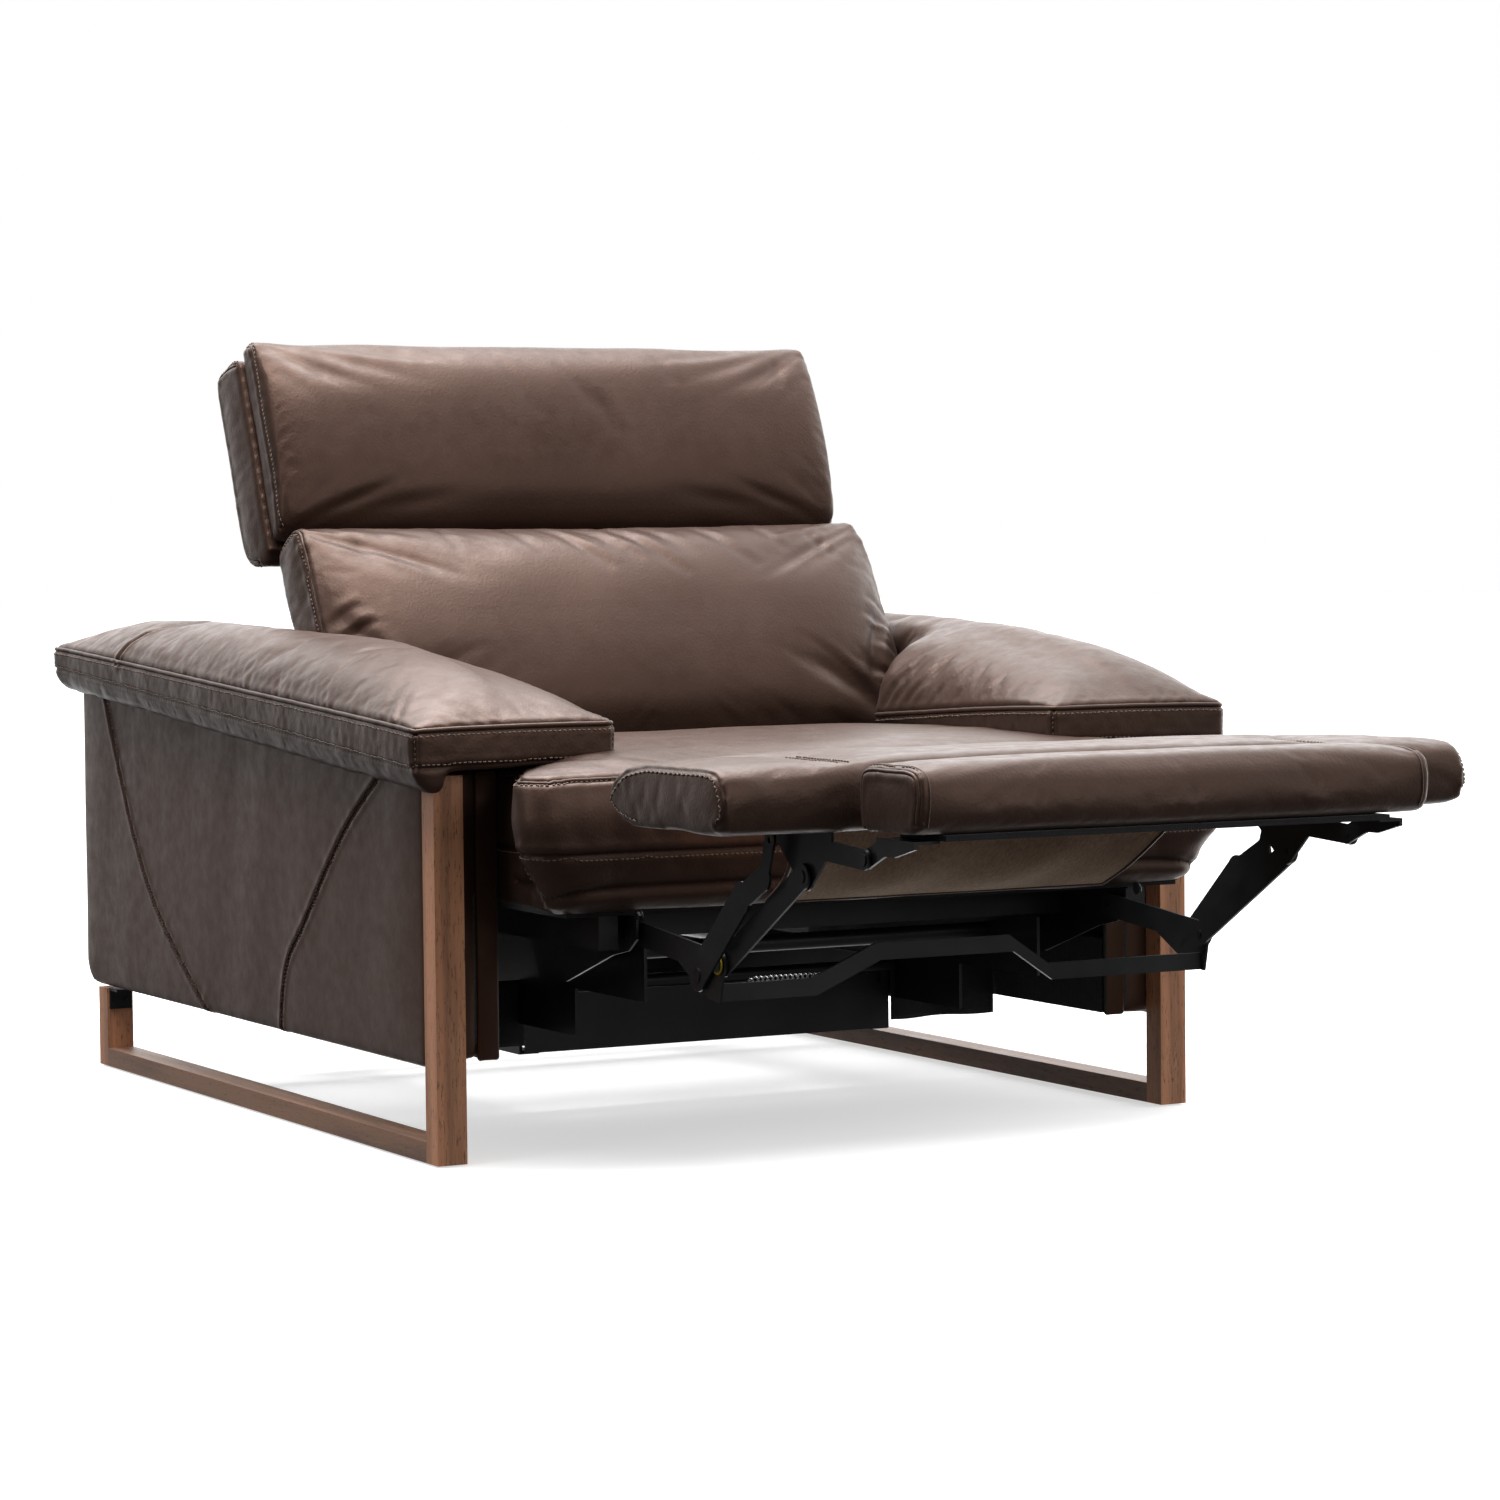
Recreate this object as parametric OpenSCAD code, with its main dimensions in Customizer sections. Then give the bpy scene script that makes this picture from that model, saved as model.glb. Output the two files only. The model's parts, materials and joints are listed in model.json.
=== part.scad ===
// Power recliner armchair on wooden sled frames, shown reclined with the footrest out.
// Units are millimetres. X is across the chair, the sitter faces -Y, and +Z is up.
// Modules draw in chair coordinates, where Y = 0 is the middle of the wooden frames.

/* [Wood frames] */
// Width over the outer faces of the two wooden frames
frame_w = 1000; // [996:1:1004]
// Length of a wooden frame, front to back
frame_len = 1110; // [1106:1:1114]
// Width of a wooden bar across the chair
bar_w = 36; // [32:1:36]
// Depth of a wooden post
post_t = 32; // [28:1:32]
// Height of the floor rail
rail_h = 26; // [22:1:30]

/* [Arms] */
// Height of the underside of the side panels
panel_z = 106; // [104:1:110]
// Overhang of an arm pad past the outer face of its frame
pad_overhang = 40; // [30:1:42]
// Half of the gap between the two arm pads at the front
pad_inner_x = 288; // [286:1:300]

/* [Seat and back] */
// Half of the seat cushion's width
seat_half_w = 424; // [410:1:425]
// Height of the seat cushion's highest line
seat_top_z = 456; // [450:1:458]
// Lean of the back from upright, in degrees
back_lean = 29; // [28.5:0.5:29.5]
// Half of the back cushion's width
back_half_w = 390; // [380:1:395]
// Lean of the headrest from upright, in degrees
head_lean = 21.5; // [21:0.5:22]

/* [Footrest] */
// Half of the footrest pad's width
foot_half_w = 448; // [430:1:450]
// Half of the flip pad's width
flip_half_w = 295; // [280:1:295]
// Thickness of a link plate
link_t = 3; // [2:0.5:3]

/* [Hidden] */

$fn = 32;
sides = [-1, 1];
// Distance from the chair's front-to-back middle to the middle of the wooden frames
frame_mid_y = 345;

glide_h = 2;
frame_front_y = -frame_len / 2;
frame_rear_y = frame_len / 2;
frame_half_w = frame_w / 2;
bar_in_x = frame_half_w - bar_w;
arm_front_y = frame_front_y + post_t + 1.5;
post_top_z = 438;

// Arm: the top of the body rises from front to rear, and the pad follows it
arm_rear_y = 590;
arm_top_front_z = 442;
arm_top_rear_z = 532;
arm_in_x = 430;
panel_t = 18;
panel_out_x = frame_half_w - 2;
panel_in_x = panel_out_x - panel_t;
pad_front_y = -590;
pad_rear_y = 612;
pad_out_x = frame_half_w + pad_overhang;
pad_mid_x = 412;
lobe_rear_y = -165;

// Fixed mechanism rails
rail_x = 252;
rail_t = 4;
rail_z = 80;
channel_y = -256;

// Seat carriage
cushion_z = 300;
deck_t = 15;
side_rail_x = [335, 359];
side_rail_z = [246, 284];
runner_x = 259;
seat_front_y = -722;
seat_rear_y = -165;
torque_y = -480;
torque_z = 222;
torque_r = 10;

// Recline hinge and headrest ratchet hinge, as [y, z]
hinge_yz = [-60, 360];
ratchet_yz = [165, 655];
hinge_pin_r = 5;
ratchet_pin_r = 4;
running_gap = 0.05;
ratchet_x = 250;

// Linkage pivots, as [y, z]
pivot_a = [-675, 264];
pivot_e = [-875, 245];
pivot_p = [-833, 230];
pivot_c = [-1050, 350];
pivot_k = [-1000, 386];
pivot_flip = [-1170, 375];
pin_r = 4;
link_w = 28;
// Each kind of link plate runs in a layer of its own, out from the footrest brackets
bracket_x = 299;
upper_x = 304;
lower_x = 309;
control_x = 314;
plate_x = 319.5;

// Draws children on both sides of the chair, the left ones mirrored
module both_sides() {
    for (s = sides) side(s) children();
}

// Draws children on the right for 1 and on the left for -1
module side(s) {
    if (s < 0) mirror([1, 0, 0]) children();
    else children();
}

// Extrudes a drawing in the Y-Z plane across the chair, from x over a width w
module across(x, w) {
    translate([x, 0, 0]) rotate([90, 0, 90]) linear_extrude(w) children();
}

// A box from its lowest corner to its highest
module block(low, high) {
    translate(low) cube(high - low);
}

// A bar with round ends between two [y, z] points; its sides sit just inside its eyes
module strap(p, q, w) {
    d = q - p;
    side_w = 0.97 * w;
    translate(p) circle(w / 2);
    translate(q) circle(w / 2);
    translate(p) rotate(atan2(d[1], d[0])) translate([0, -side_w / 2]) square([norm(d), side_w]);
}

// A rod across the chair at a [y, z] point, from x over a length w
module rod(p, x, w, r) {
    translate([x, p[0], p[1]]) rotate([0, 90, 0]) cylinder(h = w, r = r);
}

// Moves children into the frame of the leaning back: Z along it, -Y out of its front
module on_back() {
    translate([0, hinge_yz[0], hinge_yz[1]]) rotate([-back_lean, 0, 0]) children();
}

// Moves children into the frame of the headrest, set on its ratchet hinge
module on_head() {
    translate([0, ratchet_yz[0], ratchet_yz[1]]) rotate([-head_lean, 0, 0]) children();
}

// Height of the arm body's top at a given y
function arm_top_z(y) = arm_top_front_z
    + (arm_top_rear_z - arm_top_front_z) * (y - arm_front_y) / (arm_rear_y - arm_front_y);

// ---- Wooden frames ----

module front_post(s) {
    color("saddlebrown") side(s)
        block([bar_in_x, frame_front_y, glide_h], [frame_half_w, frame_front_y + post_t, post_top_z]);
}

module floor_rail(s) {
    color("saddlebrown") side(s)
        block([bar_in_x, frame_front_y + post_t, glide_h],
              [frame_half_w, frame_rear_y - post_t, glide_h + rail_h - 2]);
}

module rear_post(s) {
    color("saddlebrown") side(s)
        block([bar_in_x, frame_rear_y - post_t, glide_h], [frame_half_w, frame_rear_y, panel_z]);
}

module post_brackets() {
    plate_t = 3;
    face_y = frame_rear_y - post_t;
    color("dimgray") both_sides() {
        block([bar_in_x + 3, face_y - plate_t, panel_z - 28], [frame_half_w - 3, face_y, panel_z]);
        block([bar_in_x + 3, face_y - 30, panel_z - plate_t], [frame_half_w - 3, face_y, panel_z]);
        for (dx = [10, 26])
            translate([bar_in_x + dx, face_y - plate_t, panel_z - 16])
                rotate([90, 0, 0]) cylinder(h = 2, r = 3.5);
    }
}

module floor_glides() {
    inset_y = 24;
    color("black") both_sides()
        for (y = [frame_front_y + inset_y, frame_rear_y - inset_y])
            translate([frame_half_w - bar_w / 2, y, 0]) cylinder(h = glide_h, r = 10);
}

// ---- Arms ----

// Side of an arm with a rounded lower rear corner
module arm_outline(rear_y, corner_r, low_z) {
    difference() {
        polygon([[arm_front_y, low_z], [rear_y, low_z], [rear_y, arm_top_z(rear_y)],
                 [arm_front_y, arm_top_front_z]]);
        translate([rear_y - corner_r, low_z]) difference() {
            square([corner_r + 1, corner_r]);
            translate([0, corner_r]) circle(corner_r);
        }
    }
}

module side_panel(s) {
    color("saddlebrown") difference() {
        side(s) across(panel_in_x, panel_t) arm_outline(arm_rear_y + 20, 40, panel_z);
        if (s > 0) for (y = button_y)
            rod([y, button_z], panel_out_x - 12, 20, button_r + 1);
    }
}

module arm_body(s) {
    color([0.25, 0.16, 0.13]) side(s)
        across(arm_in_x, panel_in_x - arm_in_x) arm_outline(arm_rear_y, 30, panel_z + 6);
}

module arm_pad(s) {
    low = 4;
    color([0.33, 0.22, 0.18]) side(s) {
        across(pad_mid_x, pad_out_x - pad_mid_x)
            polygon([[pad_front_y, 446], [arm_front_y, arm_top_front_z + low],
                     [pad_rear_y, arm_top_z(pad_rear_y) + low], [pad_rear_y, 568], [560, 590],
                     [365, 598], [-73, 592], [-300, 578], [-480, 550], [-565, 508],
                     [pad_front_y, 490]]);
        across(pad_inner_x, pad_mid_x - pad_inner_x + 1)
            polygon([[pad_front_y, 447], [lobe_rear_y, 458], [lobe_rear_y, 566], [-330, 556],
                     [-480, 532], [-565, 502], [pad_front_y, 490]]);
    }
}

module inner_boards() {
    color([0.12, 0.12, 0.12]) both_sides()
        block([arm_in_x - 25, arm_front_y + 8, 115], [arm_in_x, 400, 205]);
}

module rear_panel() {
    color([0.3, 0.2, 0.16])
        block([-arm_in_x, 560, panel_z + 6], [arm_in_x, arm_rear_y - 2, 500]);
}

// ---- Fixed mechanism frame ----

module base_rails() {
    foot_w = 22;
    color([0.15, 0.15, 0.15]) both_sides() {
        block([rail_x, -250, rail_z], [rail_x + rail_t, 330, rail_z + 90]);
        block([rail_x - foot_w, -250, rail_z], [rail_x + rail_t, 330, rail_z + 3]);
    }
}

module cross_channel() {
    tube_r = 8;
    color([0.15, 0.15, 0.15]) {
        block([-rail_x, channel_y - 3, rail_z + 2], [rail_x, channel_y, rail_z + 72]);
        block([-rail_x, channel_y - 3, rail_z + 2], [rail_x, channel_y + 6, rail_z + 5]);
        rod([channel_y - 9, rail_z + 82], -rail_x, 2 * rail_x, tube_r);
        for (x = [-rail_x + 10, rail_x - 16])
            block([x, channel_y - 12, rail_z + 60], [x + 6, channel_y - 2, rail_z + 84]);
    }
}

module cross_angles() {
    half_w = arm_in_x - 25;
    color([0.15, 0.15, 0.15]) for (y = [-200, 240]) difference() {
        union() {
            block([-half_w, y, 118], [half_w, y + 3, 148]);
            block([-half_w, y, 118], [half_w, y + 28, 121]);
        }
        both_sides() block([rail_x, y - 5, 110], [runner_x + 6, y + 35, 155]);
    }
}

module power_inlet() {
    color("black") translate([300, arm_rear_y - 2, 160]) difference() {
        block([-16, 0, -12], [16, 10, 12]);
        rotate([-90, 0, 0]) cylinder(h = 12, r = 5);
    }
}

// ---- Switch on the right side panel ----

button_y = [-372, -348];
button_z = 382;
button_r = 7;
switch_t = 2.5;

module switch_plate() {
    color("silver") difference() {
        across(panel_out_x, switch_t) strap([button_y[0], button_z], [button_y[1], button_z], 32);
        for (y = button_y) rod([y, button_z], panel_out_x - 1, switch_t + 2, button_r + 0.4);
    }
}

module switch_button(y) {
    color("black") rod([y, button_z], panel_out_x - 6, 11, button_r);
}

// ---- Seat carriage ----

module seat_cushion() {
    edge_z = 438;
    crown_half_w = 262;
    color([0.35, 0.23, 0.18]) {
        across(-seat_half_w, 2 * seat_half_w)
            polygon([[seat_rear_y, cushion_z], [seat_rear_y, edge_z - 8], [-190, edge_z],
                     [-620, edge_z], [-680, 428], [seat_front_y + 5, 400], [seat_front_y, 350],
                     [-698, 286], [-685, 286], [-685, cushion_z]]);
        across(-crown_half_w, 2 * crown_half_w)
            polygon([[-190, edge_z - 5], [-200, seat_top_z - 6], [-380, seat_top_z],
                     [-600, seat_top_z - 4], [-670, edge_z], [-640, edge_z - 12]]);
    }
}

module seat_deck() {
    color("burlywood") block([-400, -684, cushion_z - deck_t - 0.8], [400, -170, cushion_z]);
}

module seat_side_rails() {
    color([0.15, 0.15, 0.15]) both_sides()
        block([side_rail_x[0], -680, side_rail_z[0]], [side_rail_x[1], -30, side_rail_z[1]]);
}

module seat_cross_rails() {
    color([0.15, 0.15, 0.15]) {
        block([-plate_x, -560, side_rail_z[0]], [plate_x, -535, side_rail_z[1]]);
        block([-side_rail_x[0], -130, side_rail_z[0]], [side_rail_x[0], -105, side_rail_z[1]]);
    }
}

module runners() {
    color("gray") both_sides() difference() {
        union() {
            block([runner_x, -600, 176], [runner_x + 4, -40, side_rail_z[0]]);
            block([runner_x, -420, 120], [runner_x + 4, -40, 180]);
        }
        rod([torque_y, torque_z], runner_x - 1, 6, torque_r + 0.4);
    }
}

module linkage_plates() {
    color([0.15, 0.15, 0.15]) both_sides() {
        difference() {
            across(plate_x, link_t)
                polygon([[-700, 284], [-700, 258], [-680, 244], [-640, 236], [-520, 196],
                         [-450, 196], [-420, 250], [-420, 284]]);
            rod(pivot_a, plate_x - 1, link_t + 2, pin_r);
            rod([torque_y, torque_z], plate_x - 1, link_t + 2, torque_r);
        }
        for (y = [-640, -440])
            rod([y, 265], plate_x + link_t, side_rail_x[0] - plate_x - link_t, 7);
    }
}

module linkage_pins() {
    color("silver") both_sides() {
        rod(pivot_a, lower_x - 1.5, plate_x + link_t - lower_x + 1.5, pin_r);
        rod(pivot_a, plate_x + link_t, 3, 8);
    }
}

module torque_tube() {
    color("gray") rod([torque_y, torque_z], -plate_x - link_t, 2 * (plate_x + link_t), torque_r);
}

module actuator() {
    color("dimgray") {
        rod_y = torque_y + torque_r;
        translate([0, rod_y, torque_z]) rotate([-90, 0, 0]) cylinder(h = 110, r = 9);
        translate([0, rod_y + 110, torque_z]) rotate([-90, 0, 0]) cylinder(h = 230, r = 16);
    }
}

module actuator_motor() {
    color("black") {
        block([18, -200, 186], [80, -132, 244]);
        translate([49, -200, 215]) rotate([90, 0, 0]) cylinder(h = 70, r = 22);
    }
}

module hinge_brackets() {
    color([0.15, 0.15, 0.15]) both_sides() difference() {
        across(side_rail_x[1], 4)
            polygon([[-110, 250], [-35, 250], [-42, 372], [-78, 372]]);
        rod(hinge_yz, side_rail_x[1] - 1, 6, hinge_pin_r);
    }
}

module hinge_pins() {
    color("silver") both_sides() {
        rod(hinge_yz, 352, side_rail_x[1] + 4 - 352, hinge_pin_r);
        rod(hinge_yz, side_rail_x[1] + 4, 3, 9);
    }
}

// ---- Footrest linkage ----

module lower_links() {
    color([0.15, 0.15, 0.15]) both_sides() difference() {
        across(lower_x, link_t) {
            strap(pivot_a, pivot_e, link_w);
            polygon([[-780, 240], pivot_p + [8, -13], [-850, 206], [-876, 203], [-884, 240]]);
        }
        rod(pivot_a, lower_x - 1, link_t + 2, pin_r + running_gap);
        rod(pivot_e, lower_x - 1, link_t + 2, pin_r);
        rod(pivot_p, lower_x - 1, link_t + 2, pin_r);
    }
}

// The flat bar between the two elbows is bent up in the middle
module cross_bar() {
    bar_y = -866;
    bar_z = 204;
    bar_t = 5;
    bar_h = 19;
    lift = 34;
    color([0.2, 0.2, 0.2]) {
        translate([0, bar_y, bar_z]) rotate([90, 0, 0]) linear_extrude(bar_t)
            polygon([[-lower_x, 0], [-190, 0], [-110, lift], [60, lift], [110, 0], [lower_x, 0],
                     [lower_x, bar_h], [104, bar_h], [54, lift + bar_h], [-116, lift + bar_h],
                     [-196, bar_h], [-lower_x, bar_h]]);
        both_sides() for (x = [252, 274])
            translate([x, bar_y, bar_z + bar_h / 2]) rotate([-90, 0, 0]) cylinder(h = 4, r = 6);
    }
}

module link_rivets() {
    color("silver") both_sides() {
        rod(pivot_e, upper_x - 1, lower_x + link_t - upper_x + 1, pin_r);
        rod(pivot_e, lower_x + link_t, 2, 8);
        rod(pivot_p, lower_x, control_x + link_t - lower_x, pin_r);
        rod(pivot_p, control_x + link_t, 1.2, 8);
    }
}

module return_spring() {
    color("dimgray") rod([-850, 222], -262, 104, 5);
}

module upper_links() {
    color([0.15, 0.15, 0.15]) both_sides() difference() {
        across(upper_x, link_t) strap(pivot_e, pivot_c, link_w);
        rod(pivot_e, upper_x - 1, link_t + 2, pin_r + running_gap);
        rod(pivot_c, upper_x - 1, link_t + 2, pin_r);
    }
}

module upper_pins() {
    color("silver") both_sides() {
        rod(pivot_c, bracket_x - 0.5, upper_x + link_t - bracket_x + 0.5, pin_r);
        rod(pivot_c, upper_x + link_t, 1.2, 7);
    }
}

module control_links() {
    elbow = [-935, 320];
    color([0.15, 0.15, 0.15]) both_sides() difference() {
        across(control_x, link_t) {
            strap(pivot_p, elbow, 36);
            strap(elbow, [-985, 345], 28);
            strap([-985, 345], pivot_k, 20);
        }
        rod(pivot_p, control_x - 1, link_t + 2, pin_r + running_gap);
        rod(pivot_k, control_x - 1, link_t + 2, pin_r + running_gap);
    }
}

// ---- Footrest ----

foot_under_z = 402;
board_t = 12;

module footrest_pad() {
    color([0.35, 0.23, 0.18]) difference() {
        across(-foot_half_w, 2 * foot_half_w)
            polygon([[-900, 442], [-912, 420], [-945, foot_under_z], [-1160, foot_under_z],
                     [-1167, 430], [-1160, 466], [-1140, 474], [-985, 474], [-930, 464]]);
        block([-400, -1140, foot_under_z - 1], [400, -960, foot_under_z + board_t]);
    }
}

module footrest_board() {
    color("burlywood") block([-400, -1140, foot_under_z], [400, -960, foot_under_z + board_t]);
}

module footrest_brackets() {
    color([0.15, 0.15, 0.15]) both_sides() {
        difference() {
            across(bracket_x, link_t) {
                polygon([pivot_c + [-13, -8], pivot_c + [13, -8], pivot_k + [14, 0],
                         [pivot_k[0] + 14, foot_under_z], [-1105, foot_under_z], [-1105, 380]]);
                translate(pivot_c) circle(15);
                strap([-1080, 380], pivot_flip, 22);
            }
            rod(pivot_c, bracket_x - 1, link_t + 2, pin_r + running_gap);
            rod(pivot_flip, bracket_x - 1, link_t + 2, pin_r);
        }
        block([bracket_x - 12, -1105, foot_under_z - 3], [bracket_x + link_t, -985, foot_under_z]);
    }
}

module flip_pins() {
    color("silver") both_sides() {
        rod(pivot_flip, bracket_x - 6, link_t + 6, pin_r);
        rod(pivot_flip, bracket_x + link_t, 1.5, 7);
    }
}

// Suede sling that hangs from the footrest's underside back to the seat's front
module sling() {
    slope_y = -128;
    slope_z = -78;
    color("peru") across(-240, 480)
        polygon([[-935, 398], [-940, 398], [-940 - slope_y, 398 + slope_z],
                 [-935 - slope_y, 398 + slope_z]]);
}

module flip_pad() {
    color([0.35, 0.23, 0.18]) across(-flip_half_w, 2 * flip_half_w)
        polygon([[-1176, 408], [-1184, 404.5], [-1280, 404.5], [-1298, 414], [-1302, 440],
                 [-1296, 462], [-1278, 474], [-1190, 474], [-1176, 466]]);
}

module flip_board() {
    color("burlywood") block([-270, -1280, 398], [270, -1190, 404]);
}

module flip_brackets() {
    arm_x = bracket_x - 5;
    color([0.15, 0.15, 0.15]) both_sides() difference() {
        union() {
            across(arm_x, 3.5) {
                strap(pivot_flip, [-1200, 388], 20);
                polygon([[-1190, 398], [-1190, 380], [-1225, 380], [-1265, 390], [-1265, 398]]);
            }
            block([arm_x - 26, -1265, 395], [arm_x + 3.5, -1195, 398]);
        }
        rod(pivot_flip, arm_x - 1, 6, pin_r + running_gap);
    }
}

// ---- Back ----

back_rear_n = 28;

module back_cushion() {
    color([0.33, 0.22, 0.18]) on_back() across(-back_half_w, 2 * back_half_w)
        polygon([[back_rear_n, 60], [back_rear_n, 366], [8, 376], [-38, 376], [-62, 362],
                 [-88, 300], [-103, 200], [-106, 100], [-98, 52], [-70, 36], [0, 36]]);
}

module back_frame() {
    color("burlywood") on_back() block([-355, back_rear_n + 6, 34], [355, back_rear_n + 32, 322]);
}

module back_rear_cover() {
    color([0.3, 0.2, 0.16]) on_back()
        block([-352, back_rear_n + 32, 24], [352, back_rear_n + 50, 312]);
}

module hinge_arms() {
    color([0.15, 0.15, 0.15]) both_sides() difference() {
        on_back() across(355, 3.5)
            polygon([[-16, -16], [16, -16], [36, 30], [back_rear_n + 30, 60],
                     [back_rear_n + 30, 180], [back_rear_n + 8, 180], [back_rear_n + 8, 60],
                     [0, 20], [-16, 8]]);
        rod(hinge_yz, 354, 6, hinge_pin_r + running_gap);
    }
}

module ratchet_plates() {
    color([0.15, 0.15, 0.15]) both_sides() difference() {
        union() {
            on_back() block([ratchet_x + 4, back_rear_n + 10, 322], [ratchet_x + 7, back_rear_n + 32, 358]);
            across(ratchet_x + 4, 3) translate(ratchet_yz) circle(12);
        }
        rod(ratchet_yz, ratchet_x + 3, 6, ratchet_pin_r);
    }
}

module headrest_pins() {
    color("silver") both_sides() {
        rod(ratchet_yz, ratchet_x - 2, 9, ratchet_pin_r);
        rod(ratchet_yz, ratchet_x + 7, 2, 7);
    }
}

// ---- Headrest ----

head_board_n = [-18.5, -6.5];

module headrest_front_pad() {
    color([0.35, 0.23, 0.18]) on_head() across(-400, 800)
        polygon([[head_board_n[0], 36], [head_board_n[0], 300], [-40, 306], [-62, 300],
                 [-78, 280], [-84, 200], [-84, 120], [-76, 50], [-60, 36]]);
}

module headrest_rear_pad() {
    color([0.33, 0.22, 0.18]) on_head() across(-400, 800)
        polygon([[head_board_n[1], 44], [head_board_n[1], 298], [30, 298], [64, 288], [72, 270],
                 [70, 70], [60, 46], [50, 44]]);
}

module headrest_board() {
    color("burlywood") on_head() block([-380, head_board_n[0], 40], [380, head_board_n[1], 280]);
    color([0.15, 0.15, 0.15]) both_sides() difference() {
        on_head() block([ratchet_x, head_board_n[0], -10], [ratchet_x + 3.5, 12, 41]);
        rod(ratchet_yz, ratchet_x - 1, 6, ratchet_pin_r + running_gap);
    }
}

translate([0, frame_mid_y, 0]) {
    front_post(-1);  // left_front_post
    front_post(1);  // right_front_post
    floor_rail(-1);  // left_floor_rail
    floor_rail(1);  // right_floor_rail
    rear_post(-1);  // left_rear_post
    rear_post(1);  // right_rear_post
    post_brackets();
    floor_glides();
    side_panel(-1);  // left_side_panel
    side_panel(1);  // right_side_panel
    arm_body(-1);  // left_arm_body
    arm_body(1);  // right_arm_body
    arm_pad(-1);  // left_arm_pad
    arm_pad(1);  // right_arm_pad
    inner_boards();
    base_rails();
    cross_channel();
    cross_angles();
    rear_panel();
    power_inlet();
    switch_plate();
    switch_button(button_y[0]);  // recline_button
    switch_button(button_y[1]);  // footrest_button
    seat_cushion();
    seat_deck();
    seat_side_rails();
    seat_cross_rails();
    runners();
    linkage_plates();
    linkage_pins();
    torque_tube();
    actuator();
    actuator_motor();
    hinge_brackets();
    hinge_pins();
    lower_links();
    cross_bar();
    link_rivets();
    return_spring();
    upper_links();
    upper_pins();
    control_links();
    footrest_pad();
    footrest_board();
    footrest_brackets();
    flip_pins();
    sling();
    flip_pad();
    flip_board();
    flip_brackets();
    back_cushion();
    back_frame();
    back_rear_cover();
    hinge_arms();
    ratchet_plates();
    headrest_pins();
    headrest_front_pad();
    headrest_rear_pad();
    headrest_board();
}
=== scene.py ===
"""Visual model of a power recliner armchair in brown leather on wooden sled frames."""

import json
import math

import bmesh
import bpy
import numpy as np
from mathutils import Matrix, Vector
from mathutils.bvhtree import BVHTree
from mathutils.kdtree import KDTree

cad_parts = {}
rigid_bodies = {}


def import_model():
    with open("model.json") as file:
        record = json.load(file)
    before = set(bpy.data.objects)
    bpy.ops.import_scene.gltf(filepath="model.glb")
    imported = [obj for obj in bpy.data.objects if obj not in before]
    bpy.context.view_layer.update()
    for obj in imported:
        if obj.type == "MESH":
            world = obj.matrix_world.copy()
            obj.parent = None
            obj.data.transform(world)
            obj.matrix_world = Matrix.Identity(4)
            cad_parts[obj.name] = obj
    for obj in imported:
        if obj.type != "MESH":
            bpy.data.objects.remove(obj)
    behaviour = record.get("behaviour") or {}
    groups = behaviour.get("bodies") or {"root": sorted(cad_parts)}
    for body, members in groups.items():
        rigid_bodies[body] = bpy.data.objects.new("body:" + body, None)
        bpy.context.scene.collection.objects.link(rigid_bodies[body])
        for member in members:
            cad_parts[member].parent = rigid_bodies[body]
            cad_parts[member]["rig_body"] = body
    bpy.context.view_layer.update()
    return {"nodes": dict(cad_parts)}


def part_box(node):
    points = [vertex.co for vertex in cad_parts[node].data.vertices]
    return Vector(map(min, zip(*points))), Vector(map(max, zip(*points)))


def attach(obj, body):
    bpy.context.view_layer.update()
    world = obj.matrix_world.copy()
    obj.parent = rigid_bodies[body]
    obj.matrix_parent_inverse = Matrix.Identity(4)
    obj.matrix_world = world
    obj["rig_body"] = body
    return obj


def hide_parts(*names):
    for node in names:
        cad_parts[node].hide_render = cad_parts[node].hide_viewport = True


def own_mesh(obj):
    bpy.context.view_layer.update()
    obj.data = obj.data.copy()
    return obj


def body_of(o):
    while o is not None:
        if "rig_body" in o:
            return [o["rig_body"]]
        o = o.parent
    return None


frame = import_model()
nodes = frame["nodes"]
scene = bpy.context.scene

MID = 0.345  # row Y of the middle of the wooden frames
BACK_HINGE, BACK_LEAN = (-0.060, 0.360), math.radians(29.0)
HEAD_HINGE, HEAD_LEAN = (0.165, 0.655), math.radians(21.5)
ARM_FRONT, ARM_REAR = -0.5215, 0.610  # the arm bodies' ends
PAD_FRONT = -0.590  # the arm pads' front


# ---- Places ----


def at(x, y, z):
    """A point given from the middle of the wooden frames, in the row frame."""
    return Vector((x, y + MID, z))


def leaned(hinge, lean, x, n, h):
    """A point on a leaning part: n behind the hinge's line and h along it."""
    y = hinge[0] + n * math.cos(lean) + h * math.sin(lean)
    return at(x, y, hinge[1] - n * math.sin(lean) + h * math.cos(lean))


def on_back(x, n, h):
    return leaned(BACK_HINGE, BACK_LEAN, x, n, h)


def on_head(x, n, h):
    return leaned(HEAD_HINGE, HEAD_LEAN, x, n, h)


def interp(x, table):
    """Straight-line reading of a table of (x, value), lowest x first."""
    return float(np.interp(x, [t[0] for t in table], [t[1] for t in table]))


# ---- Camera and light ----


def make_camera():
    a, e, r = math.radians(-28.1629), math.radians(2.9003), math.radians(-0.5688)
    back = Vector((math.sin(a) * math.cos(e), -math.cos(a) * math.cos(e), math.sin(e)))
    right = Vector((math.cos(a), math.sin(a), 0))
    up = back.cross(right)
    x_axis = right * math.cos(r) + up * math.sin(r)
    y_axis = up * math.cos(r) - right * math.sin(r)
    data = bpy.data.cameras.new("camera")
    data.lens = 103.25
    data.sensor_width = 36
    cam = bpy.data.objects.new("camera", data)
    cam.matrix_world = Matrix.Translation((-2.4395, -4.5791, 0.7054)) @ Matrix(
        (x_axis, y_axis, back)
    ).transposed().to_4x4()
    scene.collection.objects.link(cam)
    scene.camera = cam


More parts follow.
